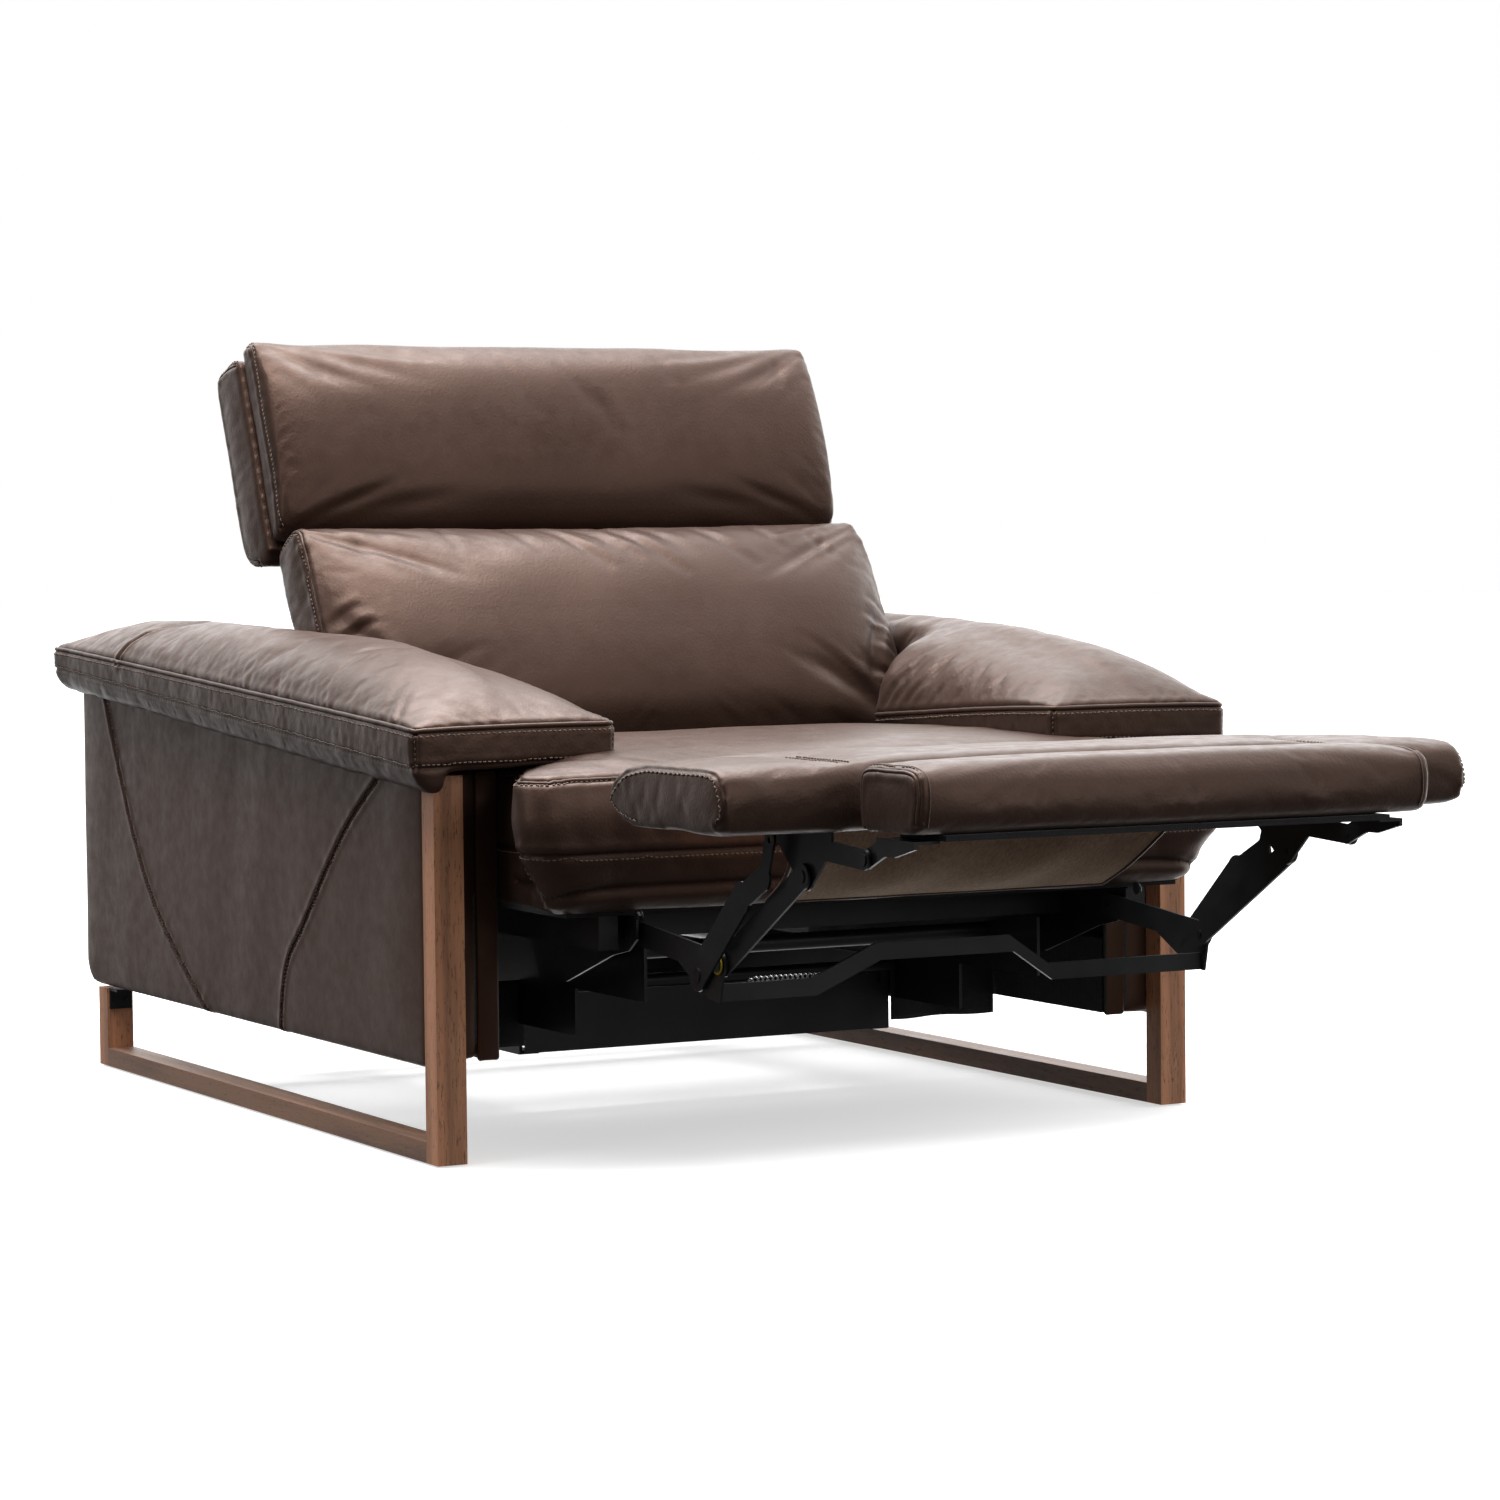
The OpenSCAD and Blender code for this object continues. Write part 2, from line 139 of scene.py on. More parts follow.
def area_light(name, place, aim, size, power):
    data = bpy.data.lights.new(name, "AREA")
    data.shape = "RECTANGLE"
    data.size, data.size_y = size
    data.energy = power
    obj = bpy.data.objects.new(name, data)
    obj.location = place
    obj.rotation_euler = (Vector(aim) - Vector(place)).to_track_quat("-Z", "Y").to_euler()
    scene.collection.objects.link(obj)


def make_world():
    """A white backdrop that gives most of its light from above and behind."""
    world = bpy.data.worlds.new("studio")
    world.use_nodes = True
    scene.world = world
    tree = world.node_tree
    coords = tree.nodes.new("ShaderNodeTexCoord")
    facing = tree.nodes.new("ShaderNodeVectorMath")
    facing.operation = "DOT_PRODUCT"
    facing.inputs[1].default_value = Vector((0.75, 0.60, 0.50)).normalized()
    tree.links.new(coords.outputs["Generated"], facing.inputs[0])
    ramp = tree.nodes.new("ShaderNodeMapRange")
    ramp.interpolation_type = "SMOOTHSTEP"
    for name, value in {"From Min": 0.05, "From Max": 0.80, "To Min": 0.10, "To Max": 2.5}.items():
        ramp.inputs[name].default_value = value
    tree.links.new(facing.outputs["Value"], ramp.inputs["Value"])
    path = tree.nodes.new("ShaderNodeLightPath")
    seen = tree.nodes.new("ShaderNodeMix")
    seen.inputs[3].default_value = 1.0
    tree.links.new(path.outputs["Is Camera Ray"], seen.inputs[0])
    tree.links.new(ramp.outputs["Result"], seen.inputs[2])
    tree.links.new(seen.outputs[0], tree.nodes["Background"].inputs["Strength"])
    tree.nodes["Background"].inputs["Color"].default_value = (1, 1, 1, 1)


def make_stage():
    make_world()
    area_light("top_softbox", (-0.4, 0.4, 3.0), (-0.1, 0.3, 0.4), (3.2, 2.6), 235)
    area_light("left_softbox", (-3.8, -0.6, 1.8), (-0.3, 0.2, 0.4), (2.2, 2.2), 25)
    area_light("front_softbox", (1.0, -4.6, 1.8), (0.1, -0.2, 0.4), (2.6, 2.2), 44)
    mesh = bpy.data.meshes.new("floor")
    ring = [(40 * math.cos(k * math.pi / 24), 40 * math.sin(k * math.pi / 24), 0) for k in range(48)]
    mesh.from_pydata(ring, [], [tuple(range(48))])
    floor = bpy.data.objects.new("floor", mesh)
    scene.collection.objects.link(floor)
    floor.visible_diffuse = False
    floor.visible_glossy = False
    n = Nodes("floor_paper", (0.55, 0.55, 0.55), 0.9)
    away = n.add("VectorMath", {"operation": "DISTANCE"}, Vector=n.coords)
    away.inputs[1].default_value = (0, MID, 0)
    glow = n.span(away.outputs["Value"], 0.72, 1.20, 0.56, 1.0)
    n.shade(Specular_IOR_Level=0.1, Emission_Color=(1, 1, 1, 1), Emission_Strength=glow)
    mesh.materials.append(n.mat)
    scene.view_settings.view_transform = "Standard"


# ---- Materials ----


class Nodes:
    """A new material, with short calls for building its nodes."""

    def __init__(self, name, color, rough, metallic=0.0):
        self.mat = bpy.data.materials.new(name)
        self.mat.use_nodes = True
        self.mat.diffuse_color = (*color, 1)
        self.tree = self.mat.node_tree
        self.shade(Base_Color=(*color, 1), Roughness=rough, Metallic=metallic)
        self.coords = self.add("TexCoord").outputs["Object"]

    def fill(self, socket, value):
        """Links a socket to another one, or sets it to a number, colour or vector."""
        if isinstance(value, bpy.types.NodeSocket):
            self.tree.links.new(value, socket)
        else:
            socket.default_value = value

    def fill_named(self, node, values):
        for name, value in values.items():
            self.fill(node.inputs[name.replace("_", " ")], value)

    def shade(self, **values):
        """Sets inputs of the material's shader, whose names have _ for a space."""
        self.fill_named(self.tree.nodes["Principled BSDF"], values)

    def add(self, kind, settings=None, **values):
        node = self.tree.nodes.new("ShaderNode" + kind)
        for key, value in (settings or {}).items():
            setattr(node, key, value)
        self.fill_named(node, values)
        return node

    def stretch(self, scale, turn=(0, 0, 0), source=None):
        node = self.add("Mapping", Scale=scale, Rotation=turn, Vector=source or self.coords)
        return node.outputs["Vector"]

    def noise(self, scale, detail=3.0, rough=0.55, vector=None):
        source = vector or self.coords
        node = self.add("TexNoise", Scale=scale, Detail=detail, Roughness=rough, Vector=source)
        return node.outputs["Fac"]

    def span(self, value, low, high, to_low=0.0, to_high=1.0):
        node = self.add("MapRange", From_Min=low, From_Max=high, To_Min=to_low, To_Max=to_high, Value=value)
        return node.outputs["Result"]

    def math(self, operation, a, b, kind="Math"):
        node = self.add(kind, {"operation": operation})
        for socket, value in zip(node.inputs, (a, b)):
            self.fill(socket, value)
        return node.outputs[0]

    def mix(self, factor, a, b):
        node = self.add("Mix", {"data_type": "RGBA"})
        for k, value in ((0, factor), (6, a), (7, b)):
            self.fill(node.inputs[k], (*value, 1.0) if isinstance(value, tuple) else value)
        return node.outputs[2]

    def bump(self, height, strength, distance, before=None):
        node = self.add("Bump", Strength=strength, Distance=distance, Height=height)
        if before:
            self.fill(node.inputs["Normal"], before)
        return node.outputs["Normal"]


def times(color, share):
    return tuple(share * c for c in color)


def along_axis(axis, scale):
    """A texture scale that is small along one axis."""
    return tuple(scale if k == axis else 1.0 for k in range(3))


def leather(name, color, pale, rough=(0.36, 0.52), relief=0.75):
    """Aniline leather: cloudy colour, fine pebbled grain, painted shade in seam grooves and crease valleys,
    and paler on edges.
    """
    n = Nodes(name, color, 0.45)
    cloud = n.span(n.noise(4.5, 4.0, 0.6), 0.32, 0.7)
    mottle = n.span(n.noise(42.0, 4.0, 0.65), 0.35, 0.7)
    tone = n.mix(cloud, color, pale)
    tone = n.mix(n.math("MULTIPLY", mottle, 0.20), tone, times(color, 0.72))
    # Painted shade: below zero the shade attribute darkens the tone in seam grooves and crease valleys;
    # above zero it pales it as wear.
    shade = n.add("Attribute", {"attribute_name": "shade"}).outputs["Fac"]
    worn = n.math("MAXIMUM", shade, 0.0)
    dark = n.math("MAXIMUM", n.math("MULTIPLY", shade, -1.0), 0.0)
    tone = n.mix(worn, tone, times(pale, 1.8))
    tone = n.mix(dark, tone, times(color, 0.25))
    offset = n.add("TexNoise", Scale=55.0, Vector=n.coords).outputs["Color"]
    small = n.math("MULTIPLY", offset, (0.006, 0.006, 0.006), "VectorMath")
    wobble = n.math("ADD", n.coords, small, "VectorMath")
    pebbles = n.add("TexVoronoi", Scale=300.0, Vector=n.stretch((1.0, 1.0, 0.85), (0.0, 0.6, 0.5), wobble))
    normal = n.bump(pebbles.outputs["Distance"], 0.24 * relief, 0.0008)
    creases = n.noise(95.0, 5.0, 0.7, n.stretch((1.0, 1.0, 0.75), (0.4, 0.5, 0.3)))
    n.shade(
        Base_Color=tone,
        Roughness=n.span(mottle, 0.0, 1.0, *rough),
        Specular_IOR_Level=0.42,
        Specular_Tint=(1.0, 0.64, 0.50, 1.0),
        Sheen_Weight=0.03,
        Sheen_Roughness=0.45,
        Sheen_Tint=(1.0, 0.86, 0.8, 1.0),
        Normal=n.bump(creases, 0.15 * relief, 0.0020, normal),
    )
    return n.mat


def wood(name, axis, color, dark, pale):
    """Open-grained stained wood whose grain runs along one axis."""
    n = Nodes(name, color, 0.5)
    rings = n.stretch(along_axis(axis, 0.06))
    wave = n.add(
        "TexWave", {"wave_type": "RINGS", "rings_direction": "XYZ"[axis]},
        Scale=9.0, Distortion=5.0, Detail=4.0, Detail_Scale=3.5, Vector=rings,
    ).outputs["Fac"]
    streak = n.noise(150.0, 4.0, 0.6, rings)
    tone = n.mix(n.span(wave, 0.1, 0.9), dark, color)
    tone = n.mix(n.math("MULTIPLY", n.span(streak, 0.4, 0.75), 0.55), tone, pale)
    pore = n.span(n.noise(430.0, 4.0, 0.75, n.stretch(along_axis(axis, 0.14))), 0.55, 0.66)
    tone = n.mix(n.math("MULTIPLY", pore, 0.80), tone, times(color, 0.20))
    normal = n.bump(n.math("SUBTRACT", 1.0, pore), 0.35, 0.0006)
    n.shade(
        Base_Color=tone,
        Roughness=n.span(streak, 0.3, 0.8, 0.42, 0.62),
        Normal=n.bump(wave, 0.12, 0.0006, normal),
    )
    return n.mat


def coated(name, color, rough, bump=0.12):
    """Powder coat or moulded plastic with a fine orange-peel surface."""
    n = Nodes(name, color, rough)
    patch = n.noise(14.0, 4.0, 0.6)
    n.shade(
        Base_Color=n.mix(n.span(patch, 0.35, 0.75), color, times(color, 1.7)),
        Roughness=n.span(patch, 0.3, 0.8, rough - 0.07, rough + 0.1),
        Normal=n.bump(n.noise(900.0, 2.0), bump, 0.0004),
    )
    return n.mat


def brushed(name, color, rough):
    """Plated metal with fine lines across the chair and a few darker stains."""
    n = Nodes(name, color, rough, 0.9)
    lines = n.noise(900.0, 3.0, 0.6, n.stretch((0.03, 1.0, 1.0)))
    stain = n.span(n.noise(30.0, 4.0, 0.6), 0.4, 0.8)
    n.shade(
        Base_Color=n.mix(stain, color, times(color, 0.5)),
        Roughness=n.span(lines, 0.3, 0.8, rough - 0.08, rough + 0.12),
        Normal=n.bump(lines, 0.1, 0.0003),
    )
    return n.mat


def suede(name, color, pale):
    n = Nodes(name, color, 0.95)
    nap = n.noise(260.0, 5.0, 0.75, n.stretch((1.0, 0.5, 0.5), (0.3, 0.2, 0.6)))
    stroke = n.math("MULTIPLY", n.span(n.noise(16.0, 3.0, 0.6), 0.4, 0.7), 0.4)
    tone = n.mix(n.span(nap, 0.36, 0.66), color, pale)
    n.shade(
        Base_Color=n.mix(stroke, tone, times(color, 0.6)),
        Sheen_Weight=0.5,
        Sheen_Roughness=0.4,
        Sheen_Tint=(1.0, 0.8, 0.62, 1.0),
        Normal=n.bump(nap, 0.5, 0.0016),
    )
    return n.mat


def woven(name, color, pale):
    n = Nodes(name, color, 0.9)
    x, y, z = (
        n.add("TexWave", {"bands_direction": axis}, Scale=650.0 / 6.3, Vector=n.coords).outputs["Fac"]
        for axis in "XYZ"
    )
    weave = n.math("MULTIPLY", n.math("ADD", x, y), z)
    fuzz = n.span(n.noise(48.0, 4.0, 0.7), 0.35, 0.7)
    n.shade(Base_Color=n.mix(fuzz, color, pale), Normal=n.bump(weave, 0.4, 0.0006), Sheen_Weight=0.15)
    return n.mat


def thread(name, color):
    n = Nodes(name, color, 0.7)
    twist = n.noise(1500.0, 2.0)
    n.shade(Base_Color=n.mix(twist, times(color, 0.55), color), Normal=n.bump(twist, 0.5, 0.0004))
    return n.mat


WOOD_TONES = {
    "wood_z": ((0.560, 0.245, 0.125), (0.320, 0.140, 0.072), (0.68, 0.34, 0.18)),
    "wood_y": ((0.260, 0.128, 0.072), (0.140, 0.070, 0.042), (0.36, 0.20, 0.12)),
}
ARM_TONES = ((0.044, 0.0200, 0.0130), (0.058, 0.0285, 0.0190))
MATS = {
    "cushion": leather("cushion_leather", (0.026, 0.0138, 0.0101), (0.043, 0.0242, 0.0180)),
    "arm": leather("arm_leather", *ARM_TONES, rough=(0.42, 0.56), relief=0.35),
    # Painted highlight: the piping leather is paler than the cushion leather, so the piping and the sling's
    # binding read as lit.
    "piping": leather("piping_leather", (0.030, 0.0175, 0.0135), (0.046, 0.028, 0.022)),
    "wood_z": wood("stained_ash_upright", 2, *WOOD_TONES["wood_z"]),
    "wood_y": wood("stained_ash_rail", 1, *WOOD_TONES["wood_y"]),
    "steel": coated("black_powder_coat", (0.0065, 0.007, 0.008), 0.40),
    "dark_zinc": brushed("blackened_zinc", (0.060, 0.060, 0.062), 0.36),
    "zinc": brushed("zinc_plate", (0.36, 0.36, 0.37), 0.38),
    "plastic": coated("black_plastic", (0.016, 0.016, 0.017), 0.5, 0.3),
    "suede": suede("tan_suede", (0.170, 0.090, 0.048), (0.300, 0.180, 0.108)),
    "cloth": woven("black_lining", (0.0055, 0.0055, 0.006), (0.012, 0.012, 0.013)),
    "grey_cloth": woven("grey_lining", (0.030, 0.031, 0.026), (0.052, 0.053, 0.045)),
    "thread": thread("tan_thread", (0.170, 0.112, 0.084)),
    "thread_dark": thread("dark_thread", (0.075, 0.046, 0.034)),
    "brass": brushed("yellow_bush", (0.62, 0.46, 0.05), 0.4),
}


def paint(obj, key):
    obj.data.materials.clear()
    obj.data.materials.append(MATS[key])


# ---- Mesh tools ----


def new_object(name, verts, faces):
    mesh = bpy.data.meshes.new(name)
    mesh.from_pydata([tuple(v) for v in verts], [], faces)
    mesh.update()
    obj = bpy.data.objects.new(name, mesh)
    scene.collection.objects.link(obj)
    return obj


def loft(rings):
    """Vertices and faces of a closed solid through rings with the same number of points."""
    count = len(rings[0])
    verts = [p for ring in rings for p in ring]
    faces = []
    for k in range(len(rings) - 1):
        for i in range(count):
            j = (i + 1) % count
            faces.append((k * count + i, k * count + j, (k + 1) * count + j, (k + 1) * count + i))
    for k, flip in ((0, True), (len(rings) - 1, False)):
        verts.append(sum(rings[k], Vector()) / count)
        hub = len(verts) - 1
        for i in range(count):
            j = (i + 1) % count
            edge = (k * count + i, k * count + j)
            faces.append((*(reversed(edge) if flip else edge), hub))
    return verts, faces


def solid_of(obj):
    """The vertices and faces of obj, which goes."""
    solid = ([v.co.copy() for v in obj.data.vertices], [tuple(p.vertices) for p in obj.data.polygons])
    bpy.data.objects.remove(obj)
    return solid


def sheet_of(name, rows, cols, place, thickness):
    """A thin sheet through place(r, c), whose arguments run from 0 to 1 along and across it."""
    verts = [place(r / rows, c / cols) for r in range(rows + 1) for c in range(cols + 1)]
    corners = [r * (cols + 1) + c for r in range(rows) for c in range(cols)]
    obj = new_object(name, verts, [(a, a + 1, a + cols + 2, a + cols + 1) for a in corners])
    thick = obj.modifiers.new("thickness", "SOLIDIFY")
    thick.thickness = thickness
    thick.offset = 0
    baked(obj)
    return obj


def joined(name, solids):
    verts, faces = [], []
    for v, f in solids:
        base = len(verts)
        verts += v
        faces += [tuple(i + base for i in face) for face in f]
    return new_object(name, verts, faces)


def baked(obj):
    """Applies obj's modifiers."""
    graph = bpy.context.evaluated_depsgraph_get()
    mesh = bpy.data.meshes.new_from_object(obj.evaluated_get(graph), depsgraph=graph)
    old = obj.data
    obj.modifiers.clear()
    obj.data = mesh
    bpy.data.meshes.remove(old)


def normals_out(obj):
    bm = bmesh.new()
    bm.from_mesh(obj.data)
    bmesh.ops.recalc_face_normals(bm, faces=bm.faces)
    bm.to_mesh(obj.data)
    bm.free()


def voxels(obj, size, smooth=4):
    normals_out(obj)
    mod = obj.modifiers.new("remesh", "REMESH")
    mod.mode = "VOXEL"
    mod.voxel_size = size
    if smooth:
        soft = obj.modifiers.new("smooth", "SMOOTH")
        soft.factor = 0.5
        soft.iterations = smooth
    baked(obj)


def points(obj):
    co = np.zeros(len(obj.data.vertices) * 3, np.float32)
    obj.data.vertices.foreach_get("co", co)
    return co.reshape(-1, 3).astype(float)


def set_points(obj, co):
    obj.data.vertices.foreach_set("co", co.astype(np.float32).ravel())
    obj.data.update()


def vertex_normals(obj):
    out = np.zeros(len(obj.data.vertices) * 3, np.float32)
    obj.data.vertex_normals.foreach_get("vector", out)
    return out.reshape(-1, 3).astype(float)


def curve_points(control, step=0.002, closed=False):
    """Evenly spaced points on a smooth curve through the control points."""
    pts = [np.array(p, float) for p in control]
    if closed:
        pts = [pts[-1], *pts, pts[0], pts[1]]
    else:
        pts = [2 * pts[0] - pts[1], *pts, 2 * pts[-1] - pts[-2]]
    fine = []
    for a, b, c, d in zip(pts, pts[1:], pts[2:], pts[3:]):
        for t in np.linspace(0, 1, 24, endpoint=False):
            bend = (2 * a - 5 * b + 4 * c - d) * t**2 + (3 * b - a - 3 * c + d) * t**3
            fine.append(0.5 * (2 * b + (c - a) * t + bend))
    if not closed:
        fine.append(pts[-2])
    fine = np.array(fine)
    if closed:
        fine = np.vstack([fine, fine[:1]])
    arc = np.concatenate([[0], np.cumsum(np.linalg.norm(np.diff(fine, axis=0), axis=1))])
    count = max(3, int(round(arc[-1] / step)) + 1)
    s = np.linspace(0, arc[-1], count)
    return np.stack([np.interp(s, arc, fine[:, k]) for k in range(3)], axis=1)


class Surface:
    """Nearest points and normals on a mesh."""

    def __init__(self, obj):
        self.tree = BVHTree.FromObject(obj, bpy.context.evaluated_depsgraph_get())

    def lay(self, path, smooth=6):
        """The path moved onto the surface: points and normals."""
        found = [self.tree.find_nearest(Vector(p)) for p in path]
        spots = np.array([f[0] for f in found])
        normals = np.array([f[1] for f in found])
        for _ in range(smooth):
            spots[1:-1] = (spots[:-2] + 2 * spots[1:-1] + spots[2:]) / 4
            normals[1:-1] = (normals[:-2] + 2 * normals[1:-1] + normals[2:]) / 4
        normals /= np.maximum(np.linalg.norm(normals, axis=1), 1e-9)[:, None]
        return spots, normals


def tangents(path):
    t = np.gradient(path, axis=0)
    return t / np.maximum(np.linalg.norm(t, axis=1), 1e-9)[:, None]


def laid_out(surface, line):
    """The line on the surface: its points, its normals and the directions across it."""
    spots, normals = surface.lay(line)
    return spots, normals, np.cross(tangents(spots), normals)


def nearest_on(path, co):
    """For each point of co, the distance to the path and the index of its nearest sample."""
    tree = KDTree(len(path))
    for i, p in enumerate(path):
        tree.insert(p, i)
    tree.balance()
    low, high = path.min(axis=0) - 0.09, path.max(axis=0) + 0.09
    inside = np.all((co > low) & (co < high), axis=1)
    dist = np.full(len(co), 9.0)
    index = np.zeros(len(co), int)
    for k in np.nonzero(inside)[0]:
        _, i, d = tree.find(co[k])
        dist[k] = d
        index[k] = i
    return dist, index


def refine(obj, paths, reach=0.007):
    """Splits the edges near the paths, so that seams come out crisp."""
    bm = bmesh.new()
    bm.from_mesh(obj.data)
    co = np.array([v.co for v in bm.verts])
    near = np.full(len(co), 9.0)
    for path in paths:
        near = np.minimum(near, nearest_on(path, co)[0])
    bm.verts.ensure_lookup_table()
    edges = [e for e in bm.edges if near[e.verts[0].index] < reach and near[e.verts[1].index] < reach]
    bmesh.ops.subdivide_edges(bm, edges=edges, cuts=1, use_grid_fill=True)
    bmesh.ops.triangulate(bm, faces=[f for f in bm.faces if len(f.verts) > 4])
    bm.to_mesh(obj.data)
    bm.free()


def tube(path, radius, sides=8):
    """Verts and faces of a closed tube along a path."""
    t = tangents(path)
    side = np.cross(t[0], (0.13, 0.31, 0.94))
    rings = []
    for p, d in zip(path, t):
        side = side - d * side.dot(d)
        side /= np.linalg.norm(side)
        up = np.cross(d, side)
        rings.append([
            Vector(p + radius * (math.cos(a) * side + math.sin(a) * up))
            for a in np.arange(sides) * 2 * math.pi / sides
        ])
    return loft(rings)


def stitches(spots, normals, pitch=0.0062, length=0.0045, radius=0.0009, zigzag=0.0, sink=0.2):
    """Verts and faces of separate stitches along a path on a surface."""
    t = tangents(spots)
    arc = np.concatenate([[0], np.cumsum(np.linalg.norm(np.diff(spots, axis=0), axis=1))])
    solids = []
    for k, s in enumerate(np.arange(pitch / 2, arc[-1], pitch)):
        i = min(len(spots) - 1, int(np.searchsorted(arc, s)))
        n, d = normals[i], t[i]
        across = np.cross(n, d)
        if zigzag:
            d = d + across * (zigzag if k % 2 else -zigzag)
            d /= np.linalg.norm(d)
        across = np.cross(n, d)
        centre = spots[i] + n * radius * (1 - 2 * sink)
        rings = []
        for u, w, lift in ((-0.5, 0.35, -0.7), (-0.3, 0.95, 0.2), (0.3, 0.95, 0.2), (0.5, 0.35, -0.7)):
            c = centre + d * u * length + n * lift * radius
            rings.append([
                Vector(c + radius * w * (math.cos(a) * across + math.sin(a) * n))
                for a in np.arange(6) * math.pi / 3
            ])
        solids.append(loft(rings))
    return solids


NOISE = np.random.default_rng(7)
WAVES = [(NOISE.normal(size=3), NOISE.uniform(0, 6.28), NOISE.uniform(0.6, 1.4)) for _ in range(24)]


def ripple(co, wavelength):
    """Smooth seeded waviness, about -1 to 1, for an array of points."""
    total = np.zeros(len(co))
    for direction, phase, rate in WAVES[:12]:
        total += np.sin(co @ direction * rate * 2 * math.pi / (wavelength * 1.7) + phase)
    return total / 5.0


def along_noise(s, wavelength, seed):
    """Smooth seeded waviness along a line."""
    total = np.zeros(len(s))
    for _, phase, rate in WAVES[seed % 12 : seed % 12 + 8]:
        total += np.sin(s * rate * 2 * math.pi / wavelength + phase + seed)
    return total / 4.0


def shade_of(obj):
    layer = obj.data.attributes.get("shade")
    if layer is None:
        layer = obj.data.attributes.new("shade", "FLOAT", "POINT")
    values = np.zeros(len(obj.data.vertices), np.float32)
    layer.data.foreach_get("value", values)
    return values


def add_shade(obj, change):
    values = shade_of(obj) + change.astype(np.float32)
    obj.data.attributes["shade"].data.foreach_set("value", np.clip(values, -0.9, 0.9))


def seam(obj, path, depth=0.0030, width=0.0032, puff=0.0010, pucker=0.0, reach=0.03, seed=1, skew=0.0):
    """A sewn line pulled into the padding, with its puckers on both sides."""
    co, normal = points(obj), vertex_normals(obj)
    d, i = nearest_on(path, co)
    push = -depth * np.exp(-((d / width) ** 2))
    push += puff * np.exp(-(((d - 2.6 * width) / (1.4 * width)) ** 2))
    if np.any(pucker):
        arc = i * 0.002 + skew * d
        fade = np.exp(-d / reach) * np.minimum(1, d / 0.004)
        uneven = 0.55 + 0.45 * along_noise(arc, 0.13, seed + 3)
        push += pucker * fade * uneven * along_noise(arc, 0.026, seed)
    push[d > 0.085] = 0
    set_points(obj, co + normal * push[:, None])
    # Painted shade: the leather's colour is darkened along the seam's groove.
    add_shade(obj, -0.55 * np.exp(-((d / (1.1 * width)) ** 2)))


def crease(obj, control, depth, width, ridge=0.6):
    """A fold in the leather: a soft valley with a raised side, fading at both ends."""
    path = curve_points(control, 0.003)
    co, normal = points(obj), vertex_normals(obj)
    path, _ = Surface(obj).lay(path, 2)
    d, i = nearest_on(path, co)
    fade = np.sin(np.clip(i / (len(path) - 1), 0, 1) * math.pi) ** 0.7
    t = tangents(path)[i]
    side = np.einsum("ij,ij->i", np.cross(normal, t), co - path[i])
    push = -depth * np.exp(-((d / width) ** 2))
    beside = np.exp(-(((side - 1.9 * width) / (1.2 * width)) ** 2))
    push += ridge * depth * beside * np.exp(-((d / (5 * width)) ** 2))
    push[d > 0.085] = 0
    set_points(obj, co + normal * (push * fade)[:, None])
    # Painted shade: the leather's colour is darkened along the fold's valley.
    add_shade(obj, -0.22 * fade * np.exp(-((d / width) ** 2)))


def smooth_shaded(obj):
    for poly in obj.data.polygons:
        poly.use_smooth = True


def finish_piece(obj, key, body, cad=(), smooth=True):
    paint(obj, key)
    if smooth:
        smooth_shaded(obj)
    if cad:
        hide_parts(*cad)
    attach(obj, body)
    return obj


# ---- Cloth ----

CLOTHS = []


def to_inflate(obj, seams, cap, pressure, hold, slack):
    """Queues a padded piece for the cloth simulation. It keeps still near a seam and where hold says."""
    co = points(obj)
    near = np.full(len(co), 9.0)
    for path in seams:
        near = np.minimum(near, nearest_on(path, co)[0])
    pin = np.clip(1 - (near - 0.004) / 0.012, 0, 1)
    pin = np.maximum(pin, hold(co))
    piece = {"obj": obj, "pin": pin, "cap": cap, "near": near, "rest": co}
    CLOTHS.append({**piece, "pressure": pressure, "slack": slack})
    return obj


def run_cloths():
    """Simulates every queued piece at once, then keeps each one's swollen shape with its cap."""
    for c in CLOTHS:
        group = c["obj"].vertex_groups.new(name="pin")
        for weight in np.unique(np.round(c["pin"], 1)):
            if weight > 0:
                chosen = np.nonzero(np.abs(np.round(c["pin"], 1) - weight) < 0.01)[0]
                group.add([int(k) for k in chosen], float(weight), "REPLACE")
        mod = c["obj"].modifiers.new("cloth", "CLOTH")
        settings = mod.settings
        settings.quality = 5
        settings.mass = 0.3
        settings.tension_stiffness = 22
        settings.compression_stiffness = 22
        settings.shear_stiffness = 8
        settings.bending_stiffness = 0.4
        settings.use_pressure = True
        settings.uniform_pressure_force = c["pressure"]
        settings.effector_weights.gravity = 0
        settings.vertex_group_mass = "pin"
        settings.shrink_min = -c["slack"]
        mod.collision_settings.use_collision = False
        mod.point_cache.frame_end = 20
    for f in range(1, 21):
        scene.frame_set(f)
    for c in CLOTHS:
        obj, rest = c["obj"], c["rest"]
        baked(obj)
        moved = points(obj) - rest
        obj.vertex_groups.clear()
        size = np.linalg.norm(moved, axis=1)
        keep = c["cap"] * np.tanh(size / c["cap"]) / np.maximum(size, 1e-9)
        set_points(obj, rest + moved * np.where(size > 1e-9, keep, 0)[:, None])
    scene.frame_set(1)


def subdivided(obj, levels=1):
    mod = obj.modifiers.new("subdivision", "SUBSURF")
    mod.levels = levels
    mod.render_levels = levels
    baked(obj)


def wavy(obj, amount, wavelength):
    co = points(obj)
    set_points(obj, co + vertex_normals(obj) * (amount * ripple(co, wavelength))[:, None])


def prepared(obj, lines, amount=0.0, wavelength=1.0):
    """Makes a pad or panel ready for its seams: finer, slightly wavy, with the lines laid onto it."""
    subdivided(obj)
    surface = Surface(obj)
    laid = [surface.lay(line)[0] for line in lines]
    refine(obj, laid)
    if amount:
        wavy(obj, amount, wavelength)
    return laid


